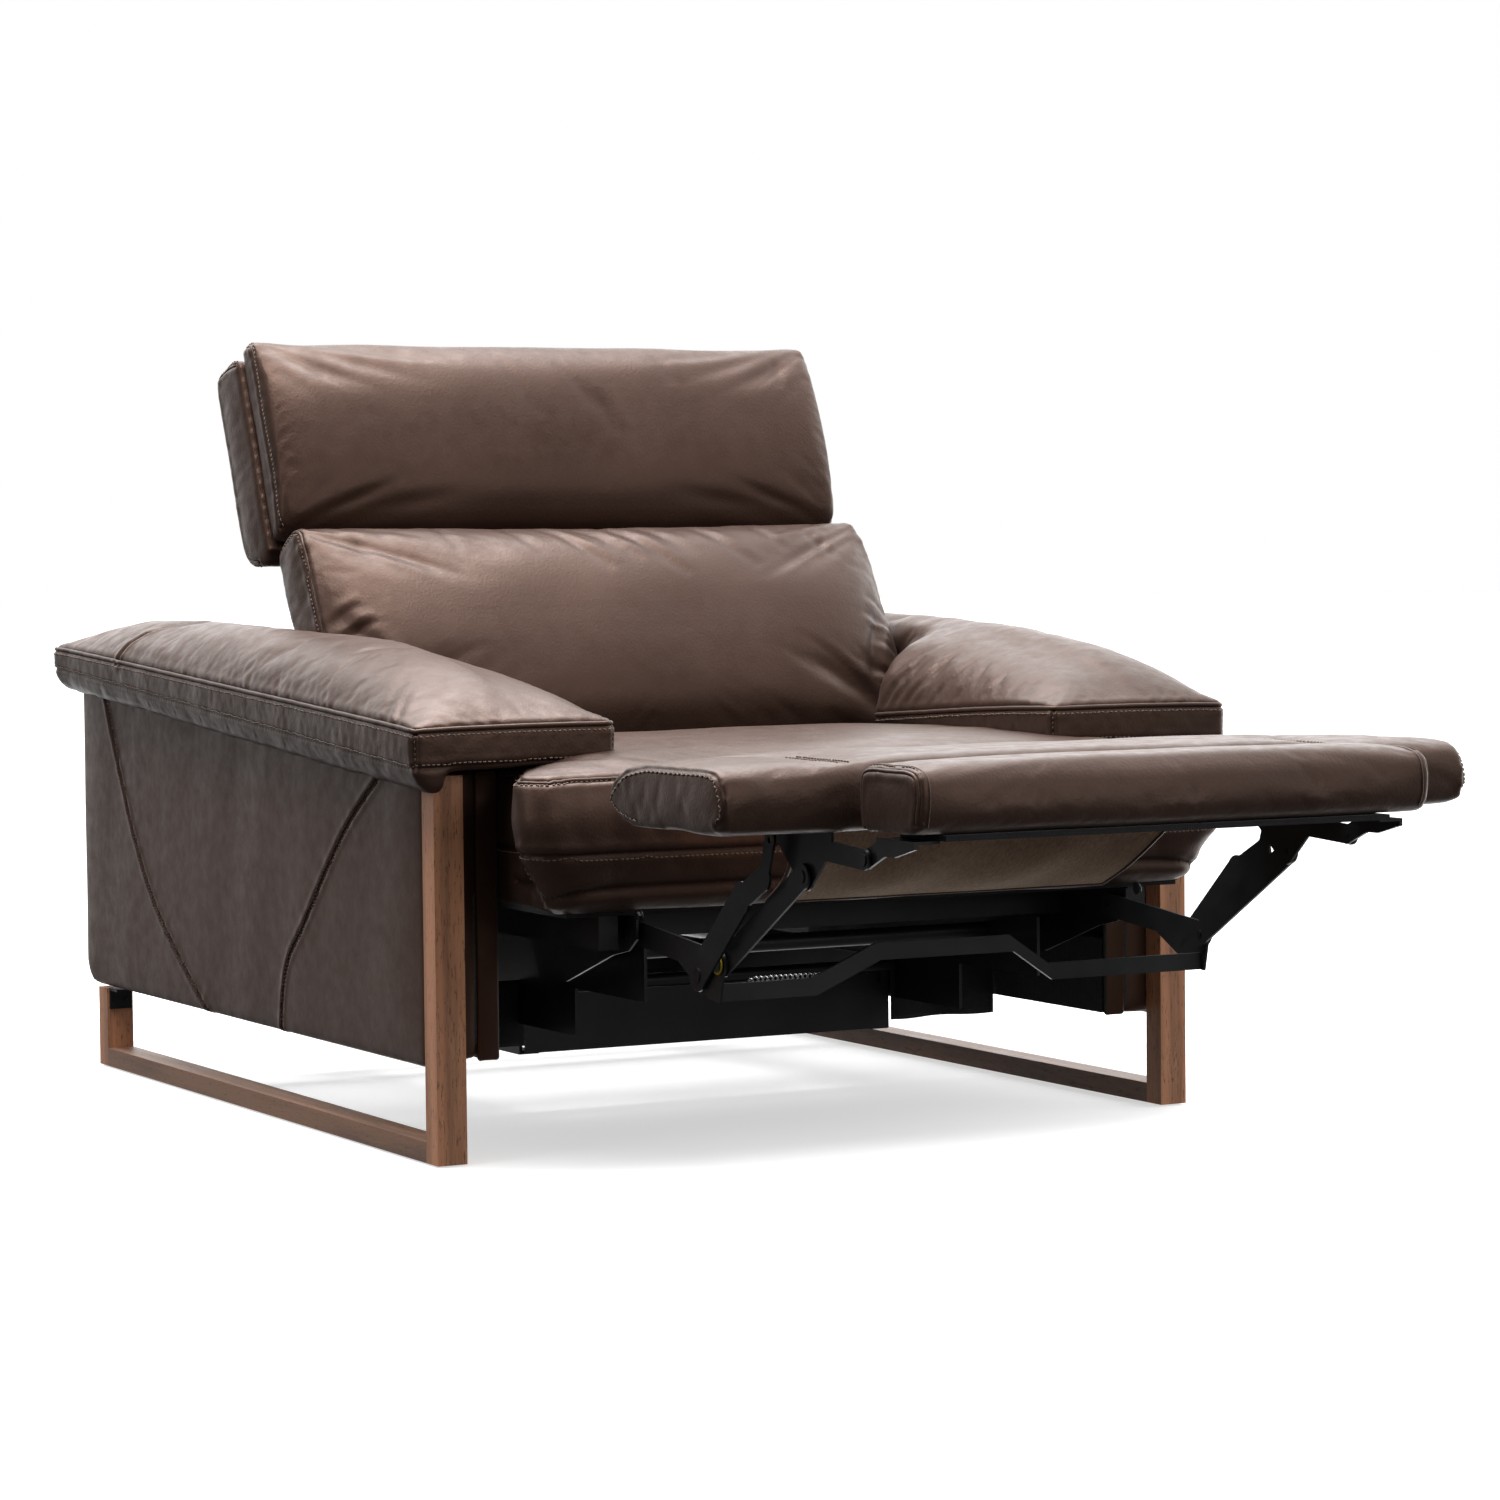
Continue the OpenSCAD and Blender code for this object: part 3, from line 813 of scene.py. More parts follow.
def at_ends(place, x, outline):
    """The outline as a line at each end of a part across the chair."""
    return [curve_points([place(s * x, a, b) for a, b in outline]) for s in (-1, 1)]


def trim(name, solids, key, body):
    """Piping or stitches as one piece that goes with a cushion."""
    return finish_piece(joined(name, solids), key, body)


def mirrored(obj, name):
    """A copy of obj on the other side of the chair."""
    copy = obj.copy()
    copy.data = obj.data.copy()
    copy.name = name
    copy.data.name = name
    scene.collection.objects.link(copy)
    co = points(copy)
    co[:, 0] *= -1
    copy.data.vertices.foreach_set("co", co.astype(np.float32).ravel())
    copy.data.flip_normals()
    copy.data.update()
    return copy


# ---- Arm pads ----

PAD_CROWN = [
    (-0.590, 0.493), (-0.578, 0.506), (-0.555, 0.520), (-0.480, 0.551), (-0.300, 0.577), (-0.073, 0.590),
    (0.365, 0.597), (0.500, 0.591), (0.570, 0.579), (0.612, 0.566),
]
LOBE_CROWN = [
    (-0.590, 0.493), (-0.578, 0.505), (-0.555, 0.516), (-0.480, 0.535), (-0.330, 0.556), (-0.165, 0.570),
    (-0.05, 0.582),
]


def arm_top(y):
    return np.interp(y, [ARM_FRONT, ARM_REAR], [0.442, 0.532])


def band_top(y):
    return 0.5265 + 0.0585 * y


def band_low(y):
    return 0.4886 + 0.0711 * y


def inner_seam_z(y):
    return interp(y, [(-0.590, 0.494), (-0.45, 0.489), (-0.14, 0.470)])


def bar_ring(y):
    top, low, crown = band_top(y), band_low(y), interp(y, PAD_CROWN)
    rise = crown - top
    base = float(arm_top(y)) + 0.004
    shape = [
        (0.412, base), (0.4985, base), (0.5005, low - 0.024), (0.514, low - 0.029), (0.531, low - 0.018),
        (0.538, low), (0.539, (low + top) / 2), (0.538, top), (0.524, top + 0.42 * rise),
        (0.500, top + 0.74 * rise), (0.466, top + 0.94 * rise), (0.435, crown), (0.412, crown - 0.001),
    ]
    return [at(x, y, z) for x, z in shape]


def lobe_ring(y):
    crown, s = interp(y, LOBE_CROWN), inner_seam_z(y)
    rise = crown - s
    low = interp(y, [(-0.590, 0.448), (-0.165, 0.458)])
    taper = [
        (-0.165, 0.288), (-0.14, 0.308), (-0.115, 0.348), (-0.085, 0.382), (-0.05, 0.400), (-0.02, 0.410),
    ]
    edge = interp(y, taper)
    shape = [
        (0.288, low), (0.289, low), (0.290, low + 0.004), (0.288, (low + s) / 2), (0.289, s),
        (0.297, s + 0.40 * rise), (0.316, s + 0.70 * rise), (0.345, s + 0.90 * rise), (0.375, crown - 0.001),
        (0.412, crown + 0.55 * (interp(y, PAD_CROWN) - crown)),
    ]
    narrow = (0.436 - edge) / (0.436 - 0.288)
    place = [(0.436, low), *[(0.436 - (0.436 - x) * narrow, z) for x, z in shape], (0.436, crown)]
    return [at(x, y, z) for x, z in place]


def arm_seams():
    """Sewn lines of the pad at X above 0: top and foot of the band, the cross seam and the corners."""
    front, face = PAD_FRONT, PAD_FRONT - 0.001
    ys = [0.606, 0.45, 0.25, 0.05, -0.15, -0.35, -0.5, -0.575]
    top = [at(0.540, y, band_top(y)) for y in ys]
    top += [at(0.535, front, 0.4925), at(0.48, face, 0.493), at(0.40, face, 0.494)]
    top += [at(0.33, face, 0.4945), at(0.295, front, 0.495), at(0.288, -0.575, 0.494)]
    top += [at(0.287, y, inner_seam_z(y)) for y in (-0.5, -0.40, -0.30, -0.22, -0.15)]
    low = [at(0.540, y, band_low(y)) for y in ys]
    low += [at(0.535, front, 0.449), at(0.48, face, 0.4495), at(0.40, face, 0.450)]
    low += [at(0.33, face, 0.4505), at(0.295, front, 0.451)]
    cross = [at(0.412, 0.315, 0.60), at(0.45, 0.32, 0.60), at(0.49, 0.335, 0.59), at(0.52, 0.35, 0.575)]
    cross += [at(0.539, 0.358, band_top(0.358))]
    outer = [at(0.538, front + 0.002, 0.49), at(0.538, front + 0.002, 0.452)]
    inner = [at(0.290, front + 0.002, 0.492), at(0.290, front + 0.002, 0.453)]
    return [curve_points(line) for line in (top, low, cross, outer, inner)]


def start_arm_pad():
    ys = [-0.590, -0.585, -0.570, -0.54, -0.50, -0.44, -0.36, -0.28, -0.165, -0.073, 0.10, 0.25, 0.365, 0.45]
    bar = [bar_ring(y) for y in [*ys, 0.53, 0.575, 0.600, 0.608]]
    lobe = [lobe_ring(y) for y in [y for y in ys if y < -0.16] + [-0.14, -0.115, -0.085, -0.05, -0.02]]
    obj = joined("right_arm_cushion", [loft(bar), loft(lobe)])
    voxels(obj, 0.0065, 3)
    seams = arm_seams()

    def hold(co):
        low = co[:, 2] < arm_top(co[:, 1] - MID) + 0.010
        return np.where(low & (co[:, 0] < 0.500), 1.0, 0.0)

    return to_inflate(obj, seams, 0.010, 3.0, hold, 0.004), seams


def finish_arm_pads(obj, seams):
    lines = prepared(obj, seams, 0.0009, 0.10)
    top, low, cross, *corners = lines
    co = points(obj)
    y = co[:, 1] - MID
    over = np.clip((co[:, 2] - band_top(y) + 0.002) / 0.006, 0, 1)
    puckers = 0.0016 * over * np.clip((0.42 - y) / 0.35, 0.1, 1) * np.where(co[:, 0] > 0.4, 1, 0.8)
    seam(obj, top, 0.0020, 0.0034, 0.0006, puckers, 0.026, 3, 0.9)
    seam(obj, low, 0.0020, 0.0026, 0.0006, 0.0003, 0.014, 5)
    seam(obj, cross, 0.0046, 0.0034, 0.0018, 0.0006, 0.02, 6)
    for line in corners:
        seam(obj, line, 0.0020, 0.0026, 0.0006)
    # Folds where the pad turns down to the seat, next to the back
    for y, reach, depth in (
        (-0.180, 0.060, 0.0022), (-0.206, 0.052, 0.0016), (-0.238, 0.070, 0.0024), (-0.262, 0.044, 0.0013),
        (-0.300, 0.062, 0.0018), (-0.352, 0.046, 0.0012), (-0.415, 0.038, 0.0010),
    ):
        z = inner_seam_z(y) + 0.004
        middle = at(0.303, y - 0.3 * reach, z + 0.45 * reach)
        end = at(0.345, y - 0.75 * reach, z + 0.9 * reach)
        crease(obj, [at(0.288, y, z), middle, end], depth, 0.0060)
    surface = Surface(obj)
    spots, normals, side = laid_out(surface, top)
    piping = [tube(spots[::2] + normals[::2] * 0.0014, 0.0027)]
    down = 1 if side[len(side) // 3][2] < 0 else -1
    rows = stitches(*surface.lay(spots + side * 0.0072 * down), zigzag=0.25)
    spots, _, side = laid_out(surface, low)
    up = 1 if side[len(side) // 3][2] > 0 else -1
    rows += stitches(*surface.lay(spots + side * 0.0045 * up))
    dark = [stitch for line in corners for stitch in stitches(*surface.lay(line))]
    for s, prefix, pad in ((1, "right", obj), (-1, "left", mirrored(obj, "left_arm_cushion"))):
        finish_piece(pad, "cushion", "base", [prefix + "_arm_pad"])
        for name, solids, key in (
            ("piping", piping, "piping"),
            ("stitches", rows, "thread"),
            ("corner_stitches", dark, "thread_dark"),
        ):
            turned = [([Vector((s * v.x, v.y, v.z)) for v in verts], faces) for verts, faces in solids]
            trim(f"{prefix}_arm_{name}", turned, key, "base")


# ---- Arm sides ----


def copy_of(node, name):
    obj = bpy.data.objects.new(name, nodes[node].data.copy())
    scene.collection.objects.link(obj)
    return obj


def v_seams(s):
    x = 0.498 * s
    rear = [(0.512, 0.505), (0.500, 0.480), (0.461, 0.411), (0.394, 0.310), (0.316, 0.223), (0.154, 0.110)]
    front = [
        (-0.42, 0.445), (-0.395, 0.427), (-0.296, 0.356), (-0.182, 0.248), (-0.120, 0.190), (-0.091, 0.108),
    ]
    return [curve_points([at(x, y, z) for y, z in line]) for line in (rear, front)]


def rounded_slab(x0, x1, y0, y1, z0, z1, r):
    """A thin upright slab with rounded upright edges."""
    rings = []
    for z, inset in ((z0, r), (z0 + 0.4 * r, 0.3 * r), (z0 + r, 0), (z1 - r, 0), (z1, r)):
        ring = []
        for cx, cy, start in ((x1, y1, 0), (x0, y1, 90), (x0, y0, 180), (x1, y0, 270)):
            ox = cx + (-r if cx == x1 else r)
            oy = cy + (-r if cy == y1 else r)
            for turn in (0, 30, 60, 90):
                a = math.radians(start + turn)
                ring.append(at(ox + (r - inset) * math.cos(a), oy + (r - inset) * math.sin(a), z))
        rings.append(ring)
    return loft(rings)


def make_side(s, prefix):
    obj = copy_of(prefix + "_side_panel", prefix + "_side_leather")
    voxels(obj, 0.007, 5)
    co = points(obj)
    outer = np.clip((np.abs(co[:, 0]) - 0.490) / 0.006, 0, 1)
    y, z = co[:, 1] - MID, co[:, 2]
    edge = np.minimum.reduce([y - ARM_FRONT, ARM_REAR - y, z - 0.106, arm_top(0) + 0.0795 * y - z + 0.03])
    swell = 0.0045 * (1 - np.exp(-np.clip(edge, 0, 1) / 0.05)) + 0.0012 * ripple(co, 0.22)
    low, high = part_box("switch_plate")
    sides = [low[1] - co[:, 1], co[:, 1] - high[1], low[2] - co[:, 2], co[:, 2] - high[2]]
    gap = np.maximum.reduce(sides)
    if s > 0:
        swell = swell * np.clip((gap - 0.003) / 0.02, 0, 1) - 0.001 * np.clip(1 - gap / 0.004, 0, 1)
    co[:, 0] += s * outer * swell
    set_points(obj, co)
    lines = prepared(obj, v_seams(s))
    for k, line in enumerate(lines):
        seam(obj, line, 0.0028, 0.0026, 0.0009, 0.0005, 0.02, 2 + k)
    surface = Surface(obj)
    rows = []
    for line in lines:
        spots, _, side = laid_out(surface, line)
        for off in (-0.0046, 0.0046):
            rows += stitches(*surface.lay(spots + side * off), pitch=0.0058)
    finish_piece(obj, "arm", "base", [prefix + "_side_panel"])
    trim(prefix + "_side_stitches", rows, "thread_dark", "base")
    core = copy_of(prefix + "_arm_body", prefix + "_arm_core")
    voxels(core, 0.009, 6)
    # The arm's front leather reaches further in than its core
    low, high = sorted((s * 0.4065, s * 0.434))
    flap = rounded_slab(low, high, -0.5212, -0.5142, 0.112, 0.440, 0.0030)
    body = joined(prefix + "_arm_inner", [solid_of(core), flap])
    wavy(body, 0.0012, 0.16)
    finish_piece(body, "arm", "base", [prefix + "_arm_body"])
    body.data.materials.append(MATS["grey_cloth"])
    body.data.materials.append(MATS["cloth"])
    for poly in body.data.polygons:
        if poly.normal.x * s < -0.5 and poly.center.z < 0.30:
            poly.material_index = 1 if poly.center.y - MID < -0.28 else 2


# ---- Pads across the chair ----


def rounded(outline, cuts=4):
    """The outline with more points, on a smooth closed curve."""
    pts = [np.array(p) for p in outline]
    fine = []
    for k in range(len(pts)):
        a, b, c, d = (pts[(k + i) % len(pts)] for i in (-1, 0, 1, 2))
        reach = np.linalg.norm(c - b)
        m0 = (c - a) * reach / max(1e-6, np.linalg.norm(b - a) + reach)
        m1 = (d - b) * reach / max(1e-6, np.linalg.norm(d - c) + reach)
        for t in np.arange(cuts) / cuts:
            h = (2 * t**3 - 3 * t**2 + 1, t**3 - 2 * t**2 + t, 3 * t**2 - 2 * t**3, t**3 - t**2)
            fine.append(h[0] * b + h[1] * m0 + h[2] * c + h[3] * m1)
    return fine


def pillow(place, middle, end, half, shoulder, stations=9):
    """A pad across the chair, whose outline changes from end to middle over the shoulder."""
    xs = []
    middle, end = rounded(middle), rounded(end)
    for k in range(stations):
        t = (k / (stations - 1)) ** 1.8
        xs.append((-half + shoulder * t, math.sqrt(max(0, 1 - (1 - t) ** 2))))
    rings = []
    for x, e in [*xs, *[(-x, e) for x, e in reversed(xs)]]:
        ring = [(m[0] * e + q[0] * (1 - e), m[1] * e + q[1] * (1 - e)) for m, q in zip(middle, end)]
        rings.append([place(x, a, b) for a, b in ring])
    return loft(rings)


def start_back():
    middle = [
        (0.028, 0.060), (0.028, 0.200), (0.028, 0.374), (0.006, 0.388), (-0.036, 0.388), (-0.062, 0.374),
        (-0.089, 0.320), (-0.103, 0.235), (-0.099, 0.130), (-0.080, 0.062), (-0.055, 0.042), (0.000, 0.040),
    ]
    end = [
        (0.026, 0.062), (0.026, 0.200), (0.026, 0.374), (0.010, 0.384), (-0.034, 0.384), (-0.052, 0.368),
        (-0.057, 0.315), (-0.059, 0.235), (-0.057, 0.130), (-0.051, 0.062), (-0.038, 0.044), (0.000, 0.042),
    ]
    obj = joined("back_pillow", [pillow(on_back, middle, end, 0.400, 0.100)])
    voxels(obj, 0.0075, 3)
    outline = [
        (-0.052, 0.045), (-0.058, 0.10), (-0.058, 0.20), (-0.057, 0.30), (-0.053, 0.366), (-0.034, 0.385),
    ]
    lines = at_ends(on_back, 0.401, [*outline, (0.010, 0.385), (0.026, 0.376)])

    def hold(co):
        normal = np.array([0, math.cos(BACK_LEAN), -math.sin(BACK_LEAN)])
        n = (co - np.array(on_back(0, 0, 0))) @ normal
        return np.where(n > 0.018, 1.0, 0.0)

    return to_inflate(obj, lines, 0.012, 3.5, hold, 0.004), lines


def finish_back(obj, lines):
    laid = prepared(obj, lines, 0.0014, 0.13)
    for k, line in enumerate(laid):
        seam(obj, line, 0.0028, 0.0034, 0.0012, 0.0014, 0.018, 4 + k)
    # Soft folds under the top edge, leaning with the pull of the leather
    for x, drop, lean, depth in (
        (-0.345, 0.050, 0.030, 0.0016), (-0.300, 0.036, 0.020, 0.0010), (-0.215, 0.045, 0.012, 0.0009),
        (-0.120, 0.050, 0.030, 0.0012), (-0.060, 0.075, 0.055, 0.0022), (-0.015, 0.060, 0.060, 0.0016),
        (0.035, 0.085, 0.065, 0.0024), (0.075, 0.050, 0.050, 0.0012), (0.150, 0.070, 0.060, 0.0016),
        (0.235, 0.040, 0.034, 0.0010), (0.310, 0.050, 0.026, 0.0013),
    ):
        line = [on_back(x - 0.4 * lean, -0.060, 0.380), on_back(x + 0.3 * lean, -0.085, 0.360 - 0.5 * drop)]
        crease(obj, [*line, on_back(x + lean, -0.10, 0.355 - drop)], depth, 0.0085, 0.8)
    # Creases where the arm pads press into the sides
    for s in (-1, 1):
        for h, reach, depth in (
            (0.232, 0.030, 0.0016), (0.205, 0.044, 0.0026), (0.170, 0.036, 0.0020), (0.128, 0.048, 0.0026),
            (0.092, 0.030, 0.0016),
        ):
            inner = 0.386 - reach
            line = [on_back(s * 0.386, -0.062, h), on_back(s * (inner + 0.4 * reach), -0.086, h + 0.010)]
            crease(obj, [*line, on_back(s * inner, -0.10, h + 0.012)], depth, 0.0060, 0.8)
        dip = [on_back(s * 0.384, -0.07, 0.245), on_back(s * 0.35, -0.10, 0.17)]
        crease(obj, [*dip, on_back(s * 0.345, -0.105, 0.08)], 0.004, 0.011, 0.5)
    surface = Surface(obj)
    rows, pipe = [], []
    for line in laid:
        spots, normals, side = laid_out(surface, line)
        pipe.append(tube(spots[::2] + normals[::2] * 0.0006, 0.0022))
        middle = len(spots) // 2
        inward = 1 if abs((spots + side * 0.02)[middle][0]) > abs(spots[middle][0]) - 0.002 else -1
        rows += stitches(*surface.lay(spots + side * 0.0062 * inward), zigzag=0.3)
    finish_piece(obj, "cushion", "back", ["back_cushion"])
    trim("back_piping", pipe, "piping", "back")
    trim("back_stitches", rows, "thread", "back")


def start_head():
    middle = [
        (-0.0190, 0.038), (-0.0190, 0.170), (-0.0190, 0.300),
        (-0.042, 0.305), (-0.060, 0.298), (-0.076, 0.272),
        (-0.086, 0.215), (-0.084, 0.130), (-0.070, 0.062), (-0.050, 0.040),
    ]
    end = [
        (-0.0195, 0.041), (-0.0195, 0.170), (-0.0195, 0.297),
        (-0.040, 0.301), (-0.056, 0.294), (-0.066, 0.268),
        (-0.073, 0.213), (-0.072, 0.130), (-0.062, 0.064), (-0.046, 0.044),
    ]
    front = joined("headrest_pillow", [pillow(on_head, middle, end, 0.400, 0.024)])
    voxels(front, 0.0065, 4)
    outline = [
        (-0.050, 0.046), (-0.058, 0.12), (-0.058, 0.20), (-0.055, 0.280), (-0.044, 0.305), (-0.030, 0.304),
    ]
    lines = at_ends(on_head, 0.401, outline)
    normal = np.array([0, math.cos(HEAD_LEAN), -math.sin(HEAD_LEAN)])
    origin = np.array(on_head(0, 0, 0))

    def hold_front(co):
        return np.where((co - origin) @ normal > -0.026, 1.0, 0.0)

    to_inflate(front, lines, 0.005, 3.0, hold_front, 0.0)
    rear_middle = [
        (-0.0060, 0.018), (-0.0060, 0.170), (-0.0060, 0.292), (0.030, 0.300), (0.060, 0.300), (0.069, 0.284),
        (0.069, 0.170), (0.068, 0.070), (0.060, 0.044), (0.040, 0.030),
    ]
    rear_end = [
        (-0.0060, 0.020), (-0.0060, 0.170), (-0.0060, 0.290), (0.028, 0.297), (0.057, 0.297), (0.066, 0.281),
        (0.066, 0.170), (0.065, 0.072), (0.057, 0.046), (0.038, 0.033),
    ]
    rear = joined("headrest_rear_pillow", [pillow(on_head, rear_middle, rear_end, 0.406, 0.014)])
    wings = []
    for s in (-1, 1):
        ring = [(-0.0165, 0.030), (-0.0165, 0.290), (0.010, 0.296), (0.010, 0.024)]
        wings.append(loft([[on_head(s * x, n, h) for n, h in ring] for x in (0.3845, 0.405)]))
    rear = joined("headrest_back_pillow", [solid_of(rear), *wings])
    voxels(rear, 0.0065, 3)
    outline = [(-0.006, 0.290), (0.03, 0.298), (0.057, 0.297), (0.067, 0.281), (0.066, 0.17), (0.065, 0.072)]
    rear_lines = at_ends(on_head, 0.406, [*outline, (0.057, 0.046), (0.02, 0.026)])

    def hold_rear(co):
        return np.where((co - origin) @ normal < 0.004, 1.0, 0.0)

    to_inflate(rear, rear_lines, 0.007, 3.0, hold_rear, 0.002)
    return front, lines, rear, rear_lines


def finish_head(front, lines, rear, rear_lines):
    for obj, group, cad, stem in (
        (front, lines, "headrest_front_pad", "headrest"),
        (rear, rear_lines, "headrest_rear_pad", "headrest_rear"),
    ):
        laid = prepared(obj, group, 0.0010, 0.12)
        for k, line in enumerate(laid):
            seam(obj, line, 0.0022, 0.0028, 0.0010, 0.0008, 0.018, 7 + k)
        if obj is front:
            for x, top, drop, lean in (
                (-0.330, 0.285, 0.050, 0.010), (-0.075, 0.288, 0.110, 0.045), (0.010, 0.270, 0.080, 0.050),
                (0.060, 0.225, 0.070, 0.020), (0.160, 0.288, 0.060, 0.018), (0.345, 0.285, 0.060, -0.006),
            ):
                line = [on_head(x, -0.080, top), on_head(x + 0.5 * lean, -0.086, top - 0.5 * drop)]
                crease(obj, [*line, on_head(x + lean, -0.086, top - drop)], 0.0010, 0.0100, 0.7)
        surface = Surface(obj)
        pipe, rows = [], []
        for line in laid:
            spots, normals, side = laid_out(surface, line)
            pipe.append(tube(spots[::2] + normals[::2] * 0.0005, 0.0017))
            rows += stitches(*surface.lay(spots + side * 0.0055))
        finish_piece(obj, "cushion", "headrest", [cad])
        trim(stem + "_piping", pipe, "piping", "headrest")
        trim(stem + "_stitches", rows, "thread", "headrest")


# ---- Seat ----


def seat_ring(z, front, half, corner, inset, narrow=0.413):
    """A level outline of the seat: wide in front of the arms and narrower between them."""
    y0, y1 = front + inset, -0.167 - inset * 0.4
    half, narrow = half - inset, min(half, narrow) - inset
    r = max(0.01, corner - 0.3 * inset)
    shape = []
    for k in range(7):
        a = math.pi / 2 * k / 6
        shape.append((half - r + r * math.sin(a), y0 + r - r * math.cos(a)))
    drop = 0.462 - half
    for x, y in ((0.453, -0.662), (0.438, -0.632), (0.424, -0.602), (0.410, -0.570), (0.404, -0.54)):
        shape.append((max(narrow - 0.012, x - drop), y))
    shape += [(narrow, -0.48), (narrow, -0.40), (narrow, -0.25)]
    for k in range(4):
        a = math.pi / 2 * k / 3
        shape.append((narrow - 0.02 + 0.02 * math.cos(a), y1 - 0.02 + 0.02 * math.sin(a)))
    shape = [(0.0, y0), (0.15, y0), (0.28, y0), *shape, (0.2, y1)]
    full = shape + [(-x, y) for x, y in reversed(shape) if x > 0]
    return [at(x, y, z) for x, y in full]


# Height, front Y, half width, corner radius and inset of each level
SEAT_LEVELS = [
    (0.288, -0.694, 0.412, 0.028, 0.0), (0.302, -0.706, 0.424, 0.030, 0.0),
    (0.325, -0.710, 0.434, 0.032, 0.0), (0.355, -0.721, 0.454, 0.034, 0.0),
    (0.390, -0.724, 0.462, 0.036, 0.0), (0.425, -0.718, 0.461, 0.036, 0.0),
    (0.439, -0.708, 0.455, 0.036, 0.0), (0.447, -0.708, 0.455, 0.036, 0.022),
    (0.4525, -0.708, 0.455, 0.036, 0.060), (0.455, -0.708, 0.455, 0.036, 0.120),
]


def start_seat():
    obj = joined("seat_pillow", [loft([seat_ring(*level) for level in SEAT_LEVELS])])
    voxels(obj, 0.008, 3)
    lines = []
    for z, front, half, corner, _ in (SEAT_LEVELS[6], SEAT_LEVELS[3]):
        ring = seat_ring(z, front, half + 0.001, corner, 0)
        half_line = [p for p in ring if p.y - MID < -0.36 and p.x > 0.001]
        half_line.sort(key=lambda p: (round(p.y, 4) if p.x > 0.3 else -9, p.x))
        other = [Vector((-p.x, p.y, p.z)) for p in half_line]
        lines.append(curve_points([*reversed(other), *half_line]))
    foot = [(-0.405, -0.56), (-0.405, -0.62), (-0.39, -0.68), (-0.34, -0.700), (-0.2, -0.705), (0, -0.705)]
    foot += [(-x, y) for x, y in reversed(foot[:-1])]
    lines.append(curve_points([at(1.04 * x, y, 0.317) for x, y in foot]))

    def hold(co):
        y, z = co[:, 1] - MID, co[:, 2]
        return np.where((z < 0.298) | ((y > -0.53) & (np.abs(co[:, 0]) > 0.405) & (z < 0.44)), 1.0, 0.0)

    return to_inflate(obj, lines, 0.011, 3.5, hold, 0.003), lines


def finish_seat(obj, lines):
    top, band, foot = prepared(obj, lines, 0.0014, 0.15)
    seam(obj, top, 0.0030, 0.0036, 0.0012, 0.0008, 0.016, 2)
    seam(obj, band, 0.0034, 0.0034, 0.0012, 0.0004, 0.012, 4)
    seam(obj, foot, 0.0050, 0.0046, 0.0010)
    for s in (-1, 1):
        for k in range(4):
            x = 0.40 - 0.05 * k
            line = [at(s * x, -0.715, 0.428 - 0.01 * k), at(s * (x + 0.005), -0.722, 0.400)]
            crease(obj, [*line, at(s * (x + 0.01), -0.722, 0.368)], 0.0014, 0.010, 0.6)
    surface = Surface(obj)
    rows = []
    for line, drop, zigzag in ((top, 0.0065, 0.2), (band, 0.005, 0.0)):
        spots, normals, side = laid_out(surface, line)
        down = 1 if side[len(side) // 2][2] < 0 else -1
        if line is top:
            pipe = [tube(spots[::2] + normals[::2] * 0.0005, 0.0022)]
        rows += stitches(*surface.lay(spots + side * drop * down), zigzag=zigzag)
    for s in (-1, 1):
        corner = [at(s * 0.425, -0.665, 0.350), at(s * 0.405, -0.682, 0.320), at(s * 0.395, -0.680, 0.292)]
        rows += stitches(*surface.lay(curve_points(corner)))
    finish_piece(obj, "cushion", "seat_carriage", ["seat_cushion"])
    piping = trim("seat_piping", pipe, "piping", "seat_carriage")
    sewn = trim("seat_stitches", rows, "thread", "seat_carriage")
    for piece in (obj, piping, sewn):
        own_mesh(piece)


# ---- Footrest ----


